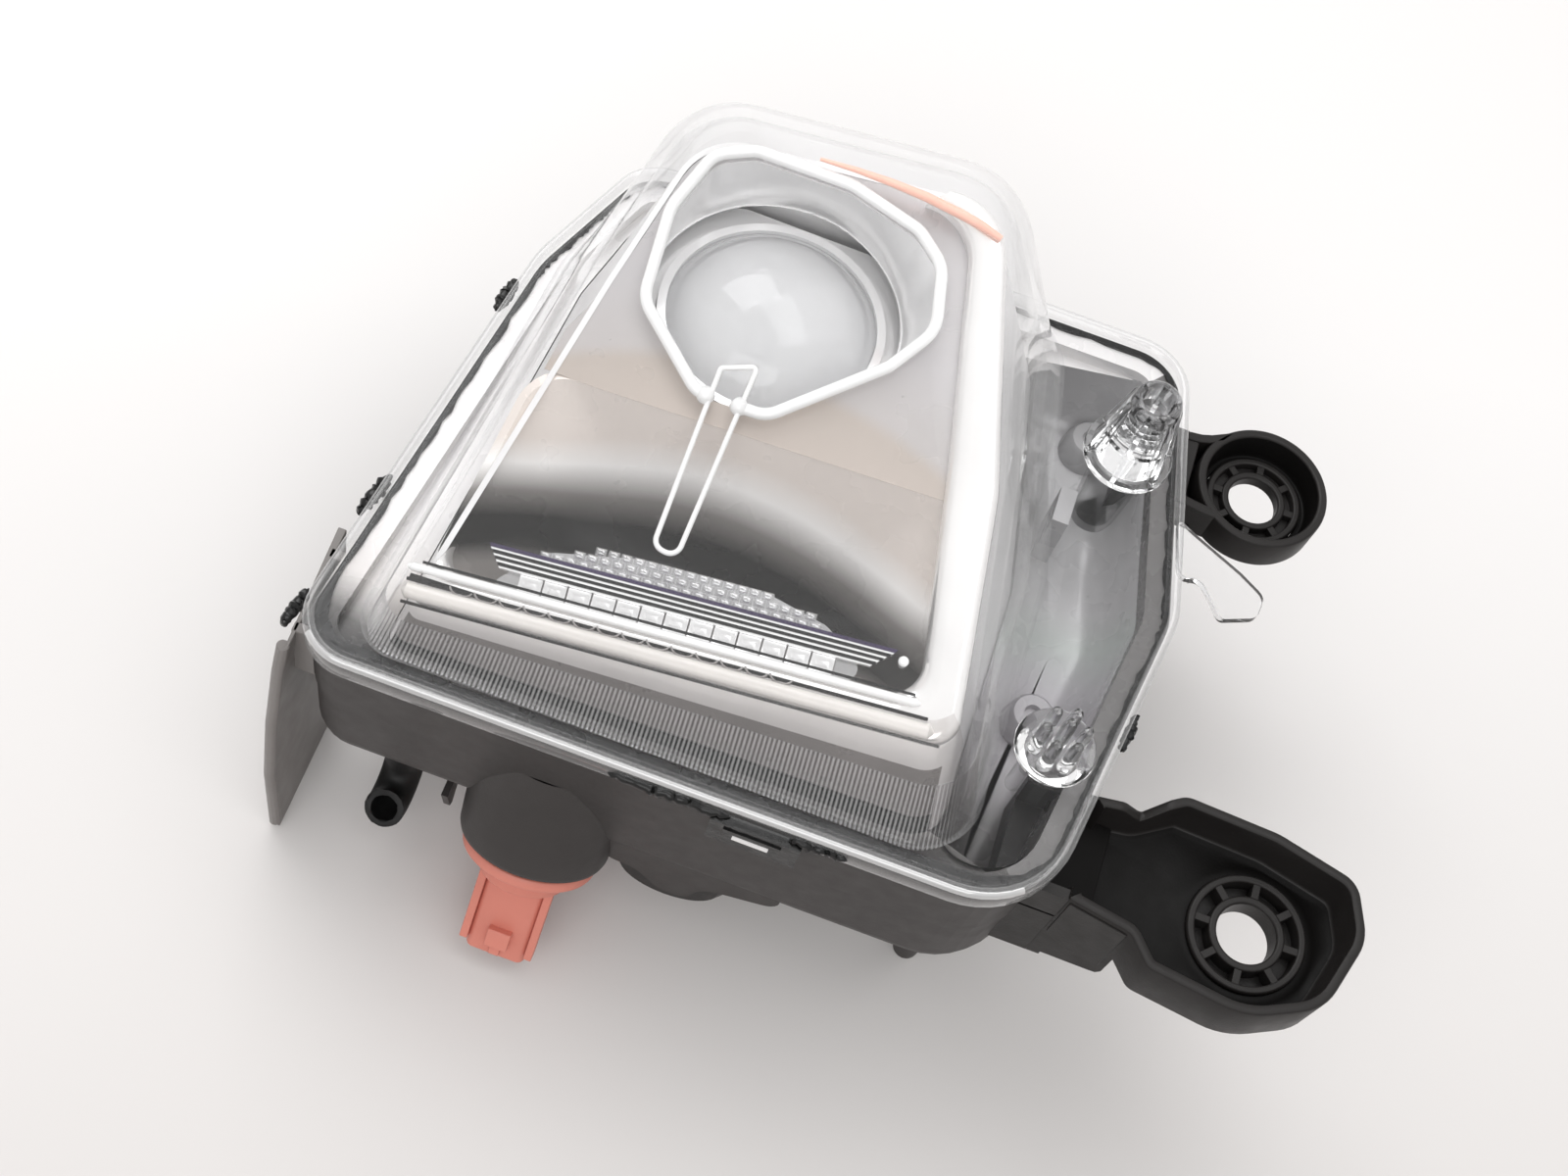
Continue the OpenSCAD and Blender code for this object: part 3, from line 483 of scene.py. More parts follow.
def bezel_metal(name, stops, rough, metal):
    """Metallised surface with painted reflections: arched tones up the face, at heights in millimetres."""
    low, high = -60, 40
    waver = 0.012
    mat, tree, bsdf = new_material(name)
    spot = spread(tree, arch(tree), 0, 1, low / 1000, high / 1000)
    moved = maths(tree, "MULTIPLY_ADD", noise(tree, 22, 3), waver, spot)
    shares = [((v - low) / (high - low) + waver / 2, c) for v, c in stops]
    paint(tree, moved, shares, bsdf.inputs["Base Color"])
    uneven_gloss(tree, bsdf, 60, 3, *rough)
    bsdf.inputs["Metallic"].default_value = metal
    return mat


def graded(name, near, far, stops):
    """Lining whose tones change from the front to the back, with a faint waver."""
    waver = 0.12
    mat, tree, bsdf = new_material(name)
    depth = axes(tree, coordinates(tree))["Y"]
    spot = spread(tree, depth, 0, 1, at((0, near, 0)).y, at((0, far, 0)).y)
    moved = maths(tree, "MULTIPLY_ADD", noise(tree, 30, 3), waver, spot)
    paint(tree, moved, [(v + waver / 2, c) for v, c in stops], bsdf.inputs["Base Color"])
    uneven_gloss(tree, bsdf, 60, 3, 0.2, 0.35)
    bsdf.inputs["Metallic"].default_value = 0.1
    return mat


HOUSING = plastic("housing_plastic", (0.04, 0.0357, 0.0344), vary=0.06, rough=(0.44, 0.52), spec=0.3)
SKIRT = plastic("skirt_plastic", (0.19, 0.176, 0.168), vary=0.05, rough=(0.32, 0.42), spec=0.4)
LEDGE = plastic("ledge_plastic", (0.01, 0.009, 0.0088), vary=0.1, rough=(0.1, 0.2), grain=40, depth=0.00001)
GREY_LEDGE = plastic("grey_ledge", (0.135, 0.13, 0.128), vary=0.05, rough=(0.2, 0.35), grain=40, depth=0.00001)
CREAM = plastic("cream_trim", (0.95, 0.93, 0.9), vary=0.03, rough=(0.12, 0.22), grain=60, depth=0.00002,
                coat=0.4)
ARM_BLACK = plastic("arm_plastic", (0.0145, 0.013, 0.0124), vary=0.08, rough=(0.36, 0.46), spec=0.24)
# Darker copy of the arm plastic for the trough floor and the cup's inside: painted shade
ARM_SHADE = plastic("arm_painted_shade", (0.004, 0.0036, 0.0034), vary=0.08, rough=(0.4, 0.5), spec=0.1)
RUBBER = plastic("rubber", (0.01, 0.01, 0.01), rough=(0.45, 0.7), grain=700, spec=0.3)
SEALANT = plastic("sealant", (0.005, 0.005, 0.005), rough=(0.12, 0.35), grain=300, depth=0.0003, spec=0.4)
CORAL = plastic("coral_plastic", (0.62, 0.21, 0.158), vary=0.06, rough=(0.4, 0.55))
CHROME = plastic("metallised", (0.96, 0.945, 0.935), vary=0.02, rough=(0.08, 0.16), grain=40, depth=0.00003,
                 metallic=0.6)
SILVER = plastic("silver_lining", (0.97, 0.965, 0.965), vary=0.02, rough=(0.16, 0.24), grain=40, depth=0.00001,
                 metallic=0.4)
SATIN = plastic("satin_metal", (0.86, 0.85, 0.85), vary=0.04, rough=(0.28, 0.42), grain=500, metallic=0.15)
DARK_SATIN = plastic("dark_satin", (0.32, 0.305, 0.3), vary=0.1, rough=(0.25, 0.4), grain=500, metallic=0.3)
# Pocket tones, near black at the front to pale tinted grey at the back: painted reflection
POCKET_REFLECTION = graded("pocket_painted_reflection", 20, 120, [
    (0.0, (0.04, 0.037, 0.036)), (0.18, (0.13, 0.125, 0.124)), (0.36, (0.37, 0.355, 0.37)),
    (0.64, (0.46, 0.445, 0.465)), (0.8, (0.44, 0.465, 0.45)), (0.93, (0.46, 0.455, 0.46))])
# Ledge colour: near black at the front, pale towards the left side and the back
LEDGE_DARK_TO_PALE = graded("ledge_dark_to_pale", 8, 60, [
    (0.0, (0.013, 0.012, 0.012)), (0.15, (0.08, 0.075, 0.072)), (0.4, (0.64, 0.615, 0.6)),
    (0.9, (0.8, 0.785, 0.78))])
GUIDE = plastic("guide_white", (0.95, 0.95, 0.945), vary=0.02, rough=(0.08, 0.2), grain=300, coat=0.6)
BAR = plastic("striped_bar", (0.05, 0.035, 0.085), vary=0.2, rough=(0.08, 0.2), grain=200, metallic=0.3)
AMBER = plastic("amber_reflex", (0.98, 0.52, 0.4), vary=0.05, rough=(0.15, 0.3), grain=900, depth=0.0002)
STEEL = plastic("steel", (0.56, 0.56, 0.57), vary=0.1, rough=(0.25, 0.4), metallic=1.0)
CAST = plastic("cast_metal", (0.42, 0.42, 0.43), vary=0.12, rough=(0.4, 0.6), grain=500, depth=0.0001,
               metallic=0.9)
BRASS = plastic("brass", (0.75, 0.56, 0.25), vary=0.12, rough=(0.25, 0.4), metallic=1.0)
NATURAL = plastic("natural_plastic", (0.78, 0.75, 0.68), vary=0.06)
CLEAR = clear_solid("clear_plastic", (0.98, 0.982, 0.985))
GLASS = clear_solid("projector_glass", (0.93, 0.93, 0.935), ior=1.5, milk=0.4)
BULB = clear_solid("bulb_glass", (0.9, 0.9, 0.92))
AMBER_BULB = clear_solid("amber_glass", (0.95, 0.55, 0.16))
WALL = clear_film("clear_wall", (0.985, 0.986, 0.988))
FLANGE = clear_film("clear_flange", (0.985, 0.985, 0.987), haze=0.01, rough=0.05, power=5.0, metal=0.0)
# Dark grey sheen, so the clear tube's edges go dark: painted shade
TUMBLER = clear_film("clear_tube", (0.985, 0.985, 0.985), haze=0.02, power=5.0, metal=0.0, sheen=0.3)
# Whitened film for the front of the bead's crown: painted highlight
BEAD_GLINT = clear_film("bead_painted_highlight", (0.93, 0.93, 0.935), haze=0.55, power=2.5, metal=0.3)
EDGE = clear_film("clear_edge", (0.93, 0.93, 0.935), haze=0.14, power=2.5, metal=0.4)
# Light and dark copies of the flute film: painted highlight and painted shade
FLUTE_GLINT = clear_film("flute_painted_highlight", (0.9, 0.89, 0.89), haze=0.3, rough=0.15)
FLUTE_SHADE = clear_film("flute_painted_shade", (0.62, 0.6, 0.6), haze=0.04, rough=0.15)
CREST_SHADE = clear_film("crest_painted_shade", (0.86, 0.845, 0.835), haze=0.03, power=6.0)
PILLOW = clear_film("pillow", (0.9, 0.9, 0.91), haze=0.42, power=1.6, metal=0.6)
# Painted reflections on the turn bowl and the plate: a dark band and a bright arc above the bar, beige and grey
# higher up
PAINTED_DARK, PAINTED_GREY, PAINTED_GLINT, PAINTED_BEIGE = (0.012, 0.011, 0.01), (0.24, 0.225, 0.215), (0.99, 0.97, 0.95), (0.83, 0.755, 0.7)
BOWL_REFLECTIONS = bezel_metal("bowl_painted_reflections", [(-48, PAINTED_GREY), (-42, PAINTED_DARK), (-34, PAINTED_DARK), (-27, PAINTED_GREY), (-19, PAINTED_GLINT),
                                        (-12, PAINTED_BEIGE), (20, PAINTED_BEIGE)], (0.22, 0.32), 0.1)
PLATE_REFLECTIONS = bezel_metal("plate_painted_reflections", [(-10, (0.55, 0.48, 0.43)), (9, (0.5, 0.44, 0.395)),
                                          (13, (0.52, 0.49, 0.48)), (34, (0.51, 0.49, 0.495))],
                          (0.25, 0.35), 0.2)


# Clear outer lens

def lens_rings(d, steps):
    """Rings of the wedge from its foot to the middle of its face, d inside the outer skin."""
    foot = hoop(BASE, d, 0, *LENS_STEPS)
    top = on_face(rounded(inset(CREST, d), *LENS_STEPS), -d)
    hub = sum(top, Vector()) / len(top)
    shoulder = mix(foot, top, 0.88)
    inner = [p.lerp(hub, 0.085) for p in top]
    up = tilt(0, 0, 1) - tilt(0, 0, 0)
    rings = [mix(foot, top, s) for s in steps]
    for k in range(7):
        s = k / 6
        rings.append([a * (1 - s) ** 2 + b * 2 * s * (1 - s) + c * s * s
                      for a, b, c in zip(shoulder, top, inner)])
    for s in (0.2, 0.35, 0.5, 0.65, 0.8, 0.93):
        rings.append([p.lerp(hub, s) + up * FACE_CROWN * (1 - (1 - s) ** 2) for p in top])
    return rings, hub + up * FACE_CROWN


def make_lens():
    n, m = LENS_STEPS
    per = n + m
    shell = Shape()
    outer, outer_hub = lens_rings(0, (0.2, 0.45, 0.7))
    inner, inner_hub = lens_rings(LENS_WALL, (0.0, 0.2, 0.45, 0.7))
    fillet = ((0, -FLANGE_T), (-2.2, -0.1), (-2.2, 0.05), (-1.0, 0.4), (-0.3, 1.2))
    foot = hoops(BASE, fillet, n, m)
    bottom = hoop(BASE, LENS_WALL, -FLANGE_T, n, m)
    shell.loft([bottom] + foot + outer)
    shell.fan(outer[-1], outer_hub)
    shell.loft([bottom] + inner)
    shell.fan(inner[-1], inner_hub)
    shell.done("lens_shell", [WALL], slot="clear_lens", replaces=("outer_lens",), angle=50)

    # Flange, and a rounded bead round it whose lip hangs over the housing's rim
    flange = Shape()
    for z in (-0.05, -FLANGE_T):
        flange.loft([hoop(BASE, -1.2, z, n, m), hoop(RIM, 4.6, z, n, m)])
    flange.done("lens_flange", [FLANGE], slot="clear_lens", angle=40)
    bead = Shape()
    crown = [(1.4, 0.9), (0.7, 0.65), (0.2, 0.1), (0, -0.7)]
    shoulder = [(3.1, -0.3), (2.7, 0.3), (2.1, 0.75), (1.4, 0.9)]
    lip = [(0, -0.7), (0, -7.0), (0.3, -7.5), (1.0, -7.5)]
    neck = [(4.6, -0.05), (4.2, -0.5), (3.6, -0.6), (3.1, -0.3)]
    # The front of the crown takes the whitened film, a painted highlight
    for row, front, rest in ((crown, 0, 1), (shoulder, 1, 1), (lip, 2, 2), (neck, 2, 2)):
        rings = hoops(RIM, row, n, m)
        bead.part(rings, n // 2, per + n // 2, front)
        bead.part(rings, per + n // 2, 6 * per + n // 2, rest)
    bead.done("lens_bead", [BEAD_GLINT, EDGE, WALL], slot="clear_lens", angle=40)

    # Smooth grey band along the front crest, painted shade of the rounded crest
    band = Shape()
    rings, _ = lens_rings(0.35, (0.56, 0.72))
    band.part(rings[:8], n // 2, per + n // 2)
    band.done("crest_band", [CREST_SHADE], slot="clear_lens", angle=50)


def make_flutes():
    """Fine upright flutes inside the front and left walls of the wedge."""
    pitch = 1.25
    steps = 4
    depth = 0.4
    dense = 60
    skin = 0.35
    past_corner = 30
    foot = hoop(BASE, skin, 0, dense, dense * 4)
    top = on_face(rounded(inset(CREST, skin), dense, dense * 4), -skin)
    per = dense * 5
    count = len(foot)
    first = count - per + dense
    order = [(first + k) % count for k in range(2 * per + dense + past_corner)]
    walked = 0.0
    lower = [foot[order[0]]]
    upper = [top[order[0]]]
    for a, b in zip(order, order[1:]):
        length = (foot[b] - foot[a]).length
        while walked + length >= pitch / steps:
            share = (pitch / steps - walked) / length
            walked -= pitch / steps
            lower.append(foot[a].lerp(foot[b], share))
            upper.append(top[a].lerp(top[b], share))
        walked += length
    rows = (-0.12, -0.09, 0.25, 0.52, 0.55)
    lines = []
    for s in rows:
        line = mix(lower, upper, s)
        bent = []
        for i, p in enumerate(line):
            run = (line[min(i + 1, len(line) - 1)] - line[max(i - 1, 0)]).normalized()
            inward = Vector((-run.y, run.x, 0)).normalized()
            wave = 0.5 - 0.5 * math.cos(2 * math.pi * i / steps)
            bent.append(p + inward * (0.1 if s in (rows[0], rows[-1]) else 0.2 + depth * wave))
        lines.append(bent)
    sheet = Shape()
    for i in range(len(lower) - 1):
        pair = [[line[i], line[i + 1]] for line in lines]
        on_front = lower[i].y < 30 and lower[i].x > -96
        # Each flute's first half in painted highlight, its second half in painted shade on the front and plain
        # wall elsewhere
        sheet.loft(pair, 0 if i % steps < steps / 2 else 1 if on_front else 2, wrap=False)
    sheet.done("lens_flutes", [FLUTE_GLINT, FLUTE_SHADE, WALL], slot="clear_lens", angle=60)


def make_posts():
    post = Shape()
    place = Matrix.Translation(UPPER_POST)
    post.turned([(13.3, 0), (13.3, 1.2), (12.9, 1.9), (11.4, 1.9), (10.6, 2.6), (6.9, 28.6), (6.6, 29.6),
                 (6.0, 30.0), (5.2, 29.8), (4.7, 29.2), (4.6, 23.0), (0, 23.0), (0, 0)], place=place)
    post.turned([(9.2, -0.1), (8.7, -0.5), (7.1, -35), (6.6, -36), (5.9, -36.2), (0, -36.2)], 1, place,
                close=False)
    post.turned([(7.6, -0.5), (6.0, -33), (5.4, -33.6), (0, -33.6)], 1, place, close=False)
    rib = flat((6.4, 1), (12.6, 1), (12.5, 2.4), (8.2, 25), (6.2, 27))
    for k in range(6):
        post.prism(rib, -0.8, 0.8, place=place @ spin(20 + 60 * k) @ UPRIGHT)
    crown = Matrix.Translation(LOWER_POST)
    post.turned([(8, 0), (10.6, 2.6), (11.4, 3.4), (11.3, 3.9), (10.6, 3.9), (8.2, 2.4), (0, 2.4), (0, 0)],
                place=crown)
    # Six fingers round a taller one, over four hollow legs
    for k in range(7):
        turn = math.radians(60 * k + 15)
        reach, high = (5.6, 17.0) if k < 6 else (0.0, 21.0)
        spot = crown @ shift(reach * math.cos(turn), reach * math.sin(turn))
        finger = [(0, 2), (2.1, 2), (1.6, high - 1.5), (1.2, high - 0.4), (0, high)]
        post.turned(finger, place=spot, n=16, close=False)
    for k in range(4):
        turn = math.radians(90 * k + 20)
        spot = crown @ shift(4.6 * math.cos(turn), 4.6 * math.sin(turn))
        post.turned([(2.6, 0), (2.5, -22.5), (2.0, -23), (0, -23)], 1, spot, n=20, close=False)
    post.prism(rounded(LUG, 5), -3.5, -1.0)
    post.done("lens_posts", [CLEAR, TUMBLER], slot="clear_lens", angle=40, bevel=0.4)


# Inside of the lens

def make_bezel():
    n, m = 10, 14
    per = n + m
    skirt = Shape()
    low = [(x, y - 4.6, r) for x, y, r in CREST]
    rings = []
    for d_base, d_top, flip in ((5.5, 4.0, False), (7.1, 5.6, True)):
        foot = hoop(BASE, d_base, -10, n, m)
        top = on_face(rounded(inset(low, d_top), n, m), FRAME_BOT)
        wall = [mix(foot, top, s) for s in (0, 0.2, 0.5, 0.74, 1)]
        rings += wall[::-1] if flip else wall
    front = (n // 2, per + n // 2)
    skirt.part(rings[:2], *front, 2)
    skirt.part(rings[1:4], *front, 1)
    skirt.part(rings[3:] + rings[:1], *front, 0)
    skirt.part(rings, per + n // 2, 6 * per + n // 2, 0, close=True)
    skirt.done("bezel_skirt_satin", [SATIN, DARK_SATIN, LEDGE], slot="satin_grey", replaces=("bezel_skirt",))

    # Rounded chrome frame along the front and the right side
    chrome = Shape()
    rim = inset(low, 4.3)
    swell = 2.2
    rim[2] = (rim[2][0] + swell, rim[2][1], rim[2][2])
    outer = rounded(rim, n, m)
    inner = rounded(INNER, n, m)
    count = 3 * per + n + 1
    profile = [(0.0, FRAME_BOT), (0.0, -10.5), (0.04, -9.0), (0.12, -8.2), (0.25, FRAME_TOP), (0.6, FRAME_TOP),
               (0.8, -8.4), (0.92, -9.4), (0.98, -11), (1.0, FRAME_BOT)]
    rings = [on_face(mix(outer, inner, t), z)[:count] for t, z in profile]
    chrome.loft([[ring[i] for ring in rings] for i in range(count)], caps=(True, True))
    chrome.done("chrome_frame", [CHROME], slot="metallised", replaces=("bezel_frame",), angle=50)

    plate = Shape()
    edge = inset(low, 5.7)
    edge[0] = (-85.5, -7.6, 4)
    edge[1] = (43.5, -5.6, 4)
    hole = rounded(inset(HEXA, -0.4), 6, 4)
    rim = spokes(edge, hole, Vector((-26, 34)))
    back = mix(rim, hole, 0.1)
    plate.loft([on_face(rim, FRAME_BOT - 0.2), on_face(hole, FRAME_BOT - 0.2), on_face(hole, PLATE_BOT),
                on_face(back, PLATE_BOT), on_face(rim, FRAME_BOT - 0.35)], close=True)
    plate.done("projector_plate", [PLATE_REFLECTIONS], slot="metallised", replaces=("bezel_plate",))


def make_tunnel():
    n, m = 8, 6
    tunnel = Shape()
    hexa = rounded(HEXA, n, m)
    lip = on_face(hexa, PLATE_BOT - 0.03)
    outer_lip = on_face(rounded(inset(HEXA, -1.4), n, m), PLATE_BOT - 0.03)

    def mouth(r):
        """Round mouth over the projector, higher at the back, inside the bezel's skirt."""
        out = []
        for p in hexa:
            a = math.atan2(p.y - 37, p.x - PROJECTOR.x)
            back = min(PROJECTOR.y + r * math.sin(a), SKIRT_BACK)
            out.append(Vector((PROJECTOR.x + r * math.cos(a), back, 27 + 2.6 * math.sin(a))))
        return out

    inner = [mix(lip, mouth(36), s) for s in (0, 0.15, 0.4, 0.7, 1)] + [mouth(35.6)]
    outside = [mix(outer_lip, mouth(38.4), s) for s in (1, 0.5, 0)]
    tunnel.loft(inner + outside, close=True)
    tunnel.done("hex_shroud", [SILVER], slot="metallised", replaces=("hex_tunnel",), angle=40)

    # Collar on the moving projector that closes the view past the mouth, cut off short of the skirt
    collar = Shape()
    bore, back, aside = 32.2, 33.3, (0, 3)
    rings = [circle(bore, 0.4, 72)]
    for r, z in ((36.2, 0.4), (36.5, 0), (36.2, -0.4)):
        rings.append([Vector((p.x, min(p.y, back), z)) for p in circle(r, z, 72, aside)])
    lean = Matrix.Translation(PROJECTOR + Vector((0, 0, 22))) @ spin(4, "X")
    collar.loft(rings + [circle(bore, -0.4, 72)], close=True, place=lean)
    collar.done("projector_collar", [SILVER], body="carrier", slot="satin_grey")

    # Bright guide round the hexagon, open at the stem; its white is a painted highlight for the light its edges
    # catch
    guide = Shape()
    path = rounded(inset(HEXA, -0.6), n, m)
    start, gap = n + 4, 4
    ring = [path[(start + k) % len(path)] for k in range(len(path) - gap)]
    high = FRAME_BOT + 4.2
    guide.rod([tilt(p.x, p.y, high) for p in ring], 1.7, n=14)
    knob = [(0, -2.6), (1.9, -1.9), (2.6, 0), (1.9, 1.9), (0, 2.6)]
    for p in (ring[0], ring[-1]):
        guide.turned(knob, place=Matrix.Translation(tilt(p.x, p.y, high)), n=16, close=False)
    stem = [(-27.2, 11, 1), (-36.3, 7.6, 1), (-37.2, -43, 3), (-30.4, -44, 3)]
    guide.rod([tilt(p.x, p.y, high + 0.6) for p in rounded(stem, 6, 5)], 0.75, n=12, loop=True)
    guide.done("guide_rim", [GUIDE], slot="guide_white", replaces=("light_guide",), angle=50)


def make_reflector():
    bowl = Shape()
    n, m = 10, 14
    inner = [on_face(rounded(inset(o, 2.4), n, m), z) for o, z in BOWL]
    outer = [on_face(rounded(o, n, m), z - (2.0 if z < PLATE_BOT else 1.0)) for o, z in BOWL]
    bowl.loft(outer[::-1] + inner)
    floor = sum(inner[-1], Vector()) / len(inner[-1])
    bowl.fan(inner[-1], floor)
    bowl.fan(outer[-1], floor - Vector((0, 0, 2)))
    bowl.done("turn_bowl", [BOWL_REFLECTIONS], slot="metallised", replaces=("turn_reflector",), angle=60)


def make_front_trim():
    face = face_matrix()
    bar_place = face @ shift(-23, -55) @ spin(4.3)
    optic = Shape()
    optic.prism(rounded(OPTIC_SLAB, 4), PLATE_BOT, FRAME_BOT - 0.8, place=bar_place)
    # Pillows above the bar, clear windows on a dark strip below it
    pillow = [rect(1.6, 1.1, 0), rect(1.35, 0.9, 0.55), rect(0.8, 0.5, 0.95)]
    for row, (up, reach) in enumerate(((3.9, 37), (6.3, 33), (8.6, 24))):
        count = int(reach / 1.75)
        for k in range(-count // 2, count // 2 + 1):
            spot = bar_place @ shift(-2 + 3.5 * k + (1.75 if row % 2 else 0), up, FRAME_BOT - 0.9)
            optic.loft(pillow, caps=(False, True), place=spot)
    optic.box((-45, -7.6, FRAME_BOT - 1), (40.5, -2.6, FRAME_BOT - 0.7), 2, bar_place)
    window = [rect(3.15, 2.4, 0), rect(3.05, 2.3, 1.6), rect(2.3, 1.5, 1.3), rect(1.2, 0.7, 1.8)]
    for k in range(13):
        spot = bar_place @ shift(-42 + 6.6 * k, -5.1, FRAME_BOT - 0.7)
        optic.loft(window, 1, caps=(False, True), place=spot)
    optic.done("pillow_optic", [PILLOW, SILVER, DARK_SATIN], slot="clear_optic", replaces=("turn_optic",),
               angle=50)

    bar = Shape()
    stripes = [(1.0, 0), (0.5, 1), (0.9, 2), (0.55, 1), (0.8, 2), (0.6, 1), (0.9, 2), (0.5, 1)]
    low = 3.0
    for k, (width, colour) in enumerate(stripes):
        left, right = -54.5 + 0.5 * k, 55.5 - 0.8 * k
        strip = flat((left + 0.5 * width, low - width), (right - 0.8 * width, low - width), (right, low),
                     (left, low))
        bar.prism(strip, FRAME_BOT, FRAME_BOT + 5.4 - 0.25 * k, colour, bar_place)
        low -= width
    stud = [(0, 0), (1.4, 0), (1.4, 5), (0.9, 5.6), (0, 5.6)]
    bar.turned(stud, 1, bar_place @ shift(57.5, 0.5, FRAME_BOT), n=16, close=False)
    bar.done("bar_stripes", [BAR, GUIDE, SEALANT], slot="striped", replaces=("striped_bar",))

    # Bright rods, black lines beside them as painted shadow lines, scallops and a dark slot
    trim = Shape()
    for x0, y0, x1, y1, r, colour in ((-95, -75.2, 47.5, -65.4, 2.2, 2), (-95.5, -68.9, 42, -59.4, 1.2, 0)):
        spots = [(x0 + (x1 - x0) * s, y0 + (y1 - y0) * s) for s in (0, 0.01, 0.5, 0.99, 1)]
        trim.rod([tilt(x, y, FRAME_TOP + 0.2) for x, y in spots], [0.4, r, r, r, 0.4], colour, n=14)
    lines = ((-94, -78.3, 50, -68.2, 0.45), (-94.5, -72.2, 45, -62.5, 0.5), (-92, -66.9, 40, -57.6, 0.4))
    for x0, y0, x1, y1, r in lines:
        trim.rod([tilt(x0, y0, FRAME_TOP + 0.3), tilt(x1, y1, FRAME_TOP + 0.3)], r, 3, n=8)
    curve = [math.radians(a) for a in range(190, 351, 20)]
    for k in range(14):
        x, y = -80 + 6.6 * k, -70.2 + 0.46 * k
        scallop = [tilt(x + 3.1 * math.cos(a), y + 2.0 * math.sin(a), FRAME_TOP + 1.0) for a in curve]
        trim.rod(scallop, 0.28, 1, n=6)
    slot = flat((-94, -72.4), (-70, -70.8), (-68, -69.9), (-94, -70.6))
    trim.prism(slot, FRAME_TOP, FRAME_TOP + 0.5, 3, face)
    trim.done("trim_rods", [GUIDE, DARK_SATIN, CREAM, SEALANT], slot="clear_optic", replaces=("trim_bars",))

    strip = Shape()
    spots = [(-30, 69.6), (-20, 69.9), (-10, 69.7), (0, 69), (10, 67.6), (17, 66.2), (22.5, 64.6)]
    strip.rod([tilt(x, y, FRAME_TOP + 1) for x, y in spots], [0.5, 0.8, 1.1, 1.3, 1.4, 1.3, 0.9], n=12)
    strip.done("amber_strip", [AMBER], slot="amber", replaces=("amber_reflex",))


# Housing

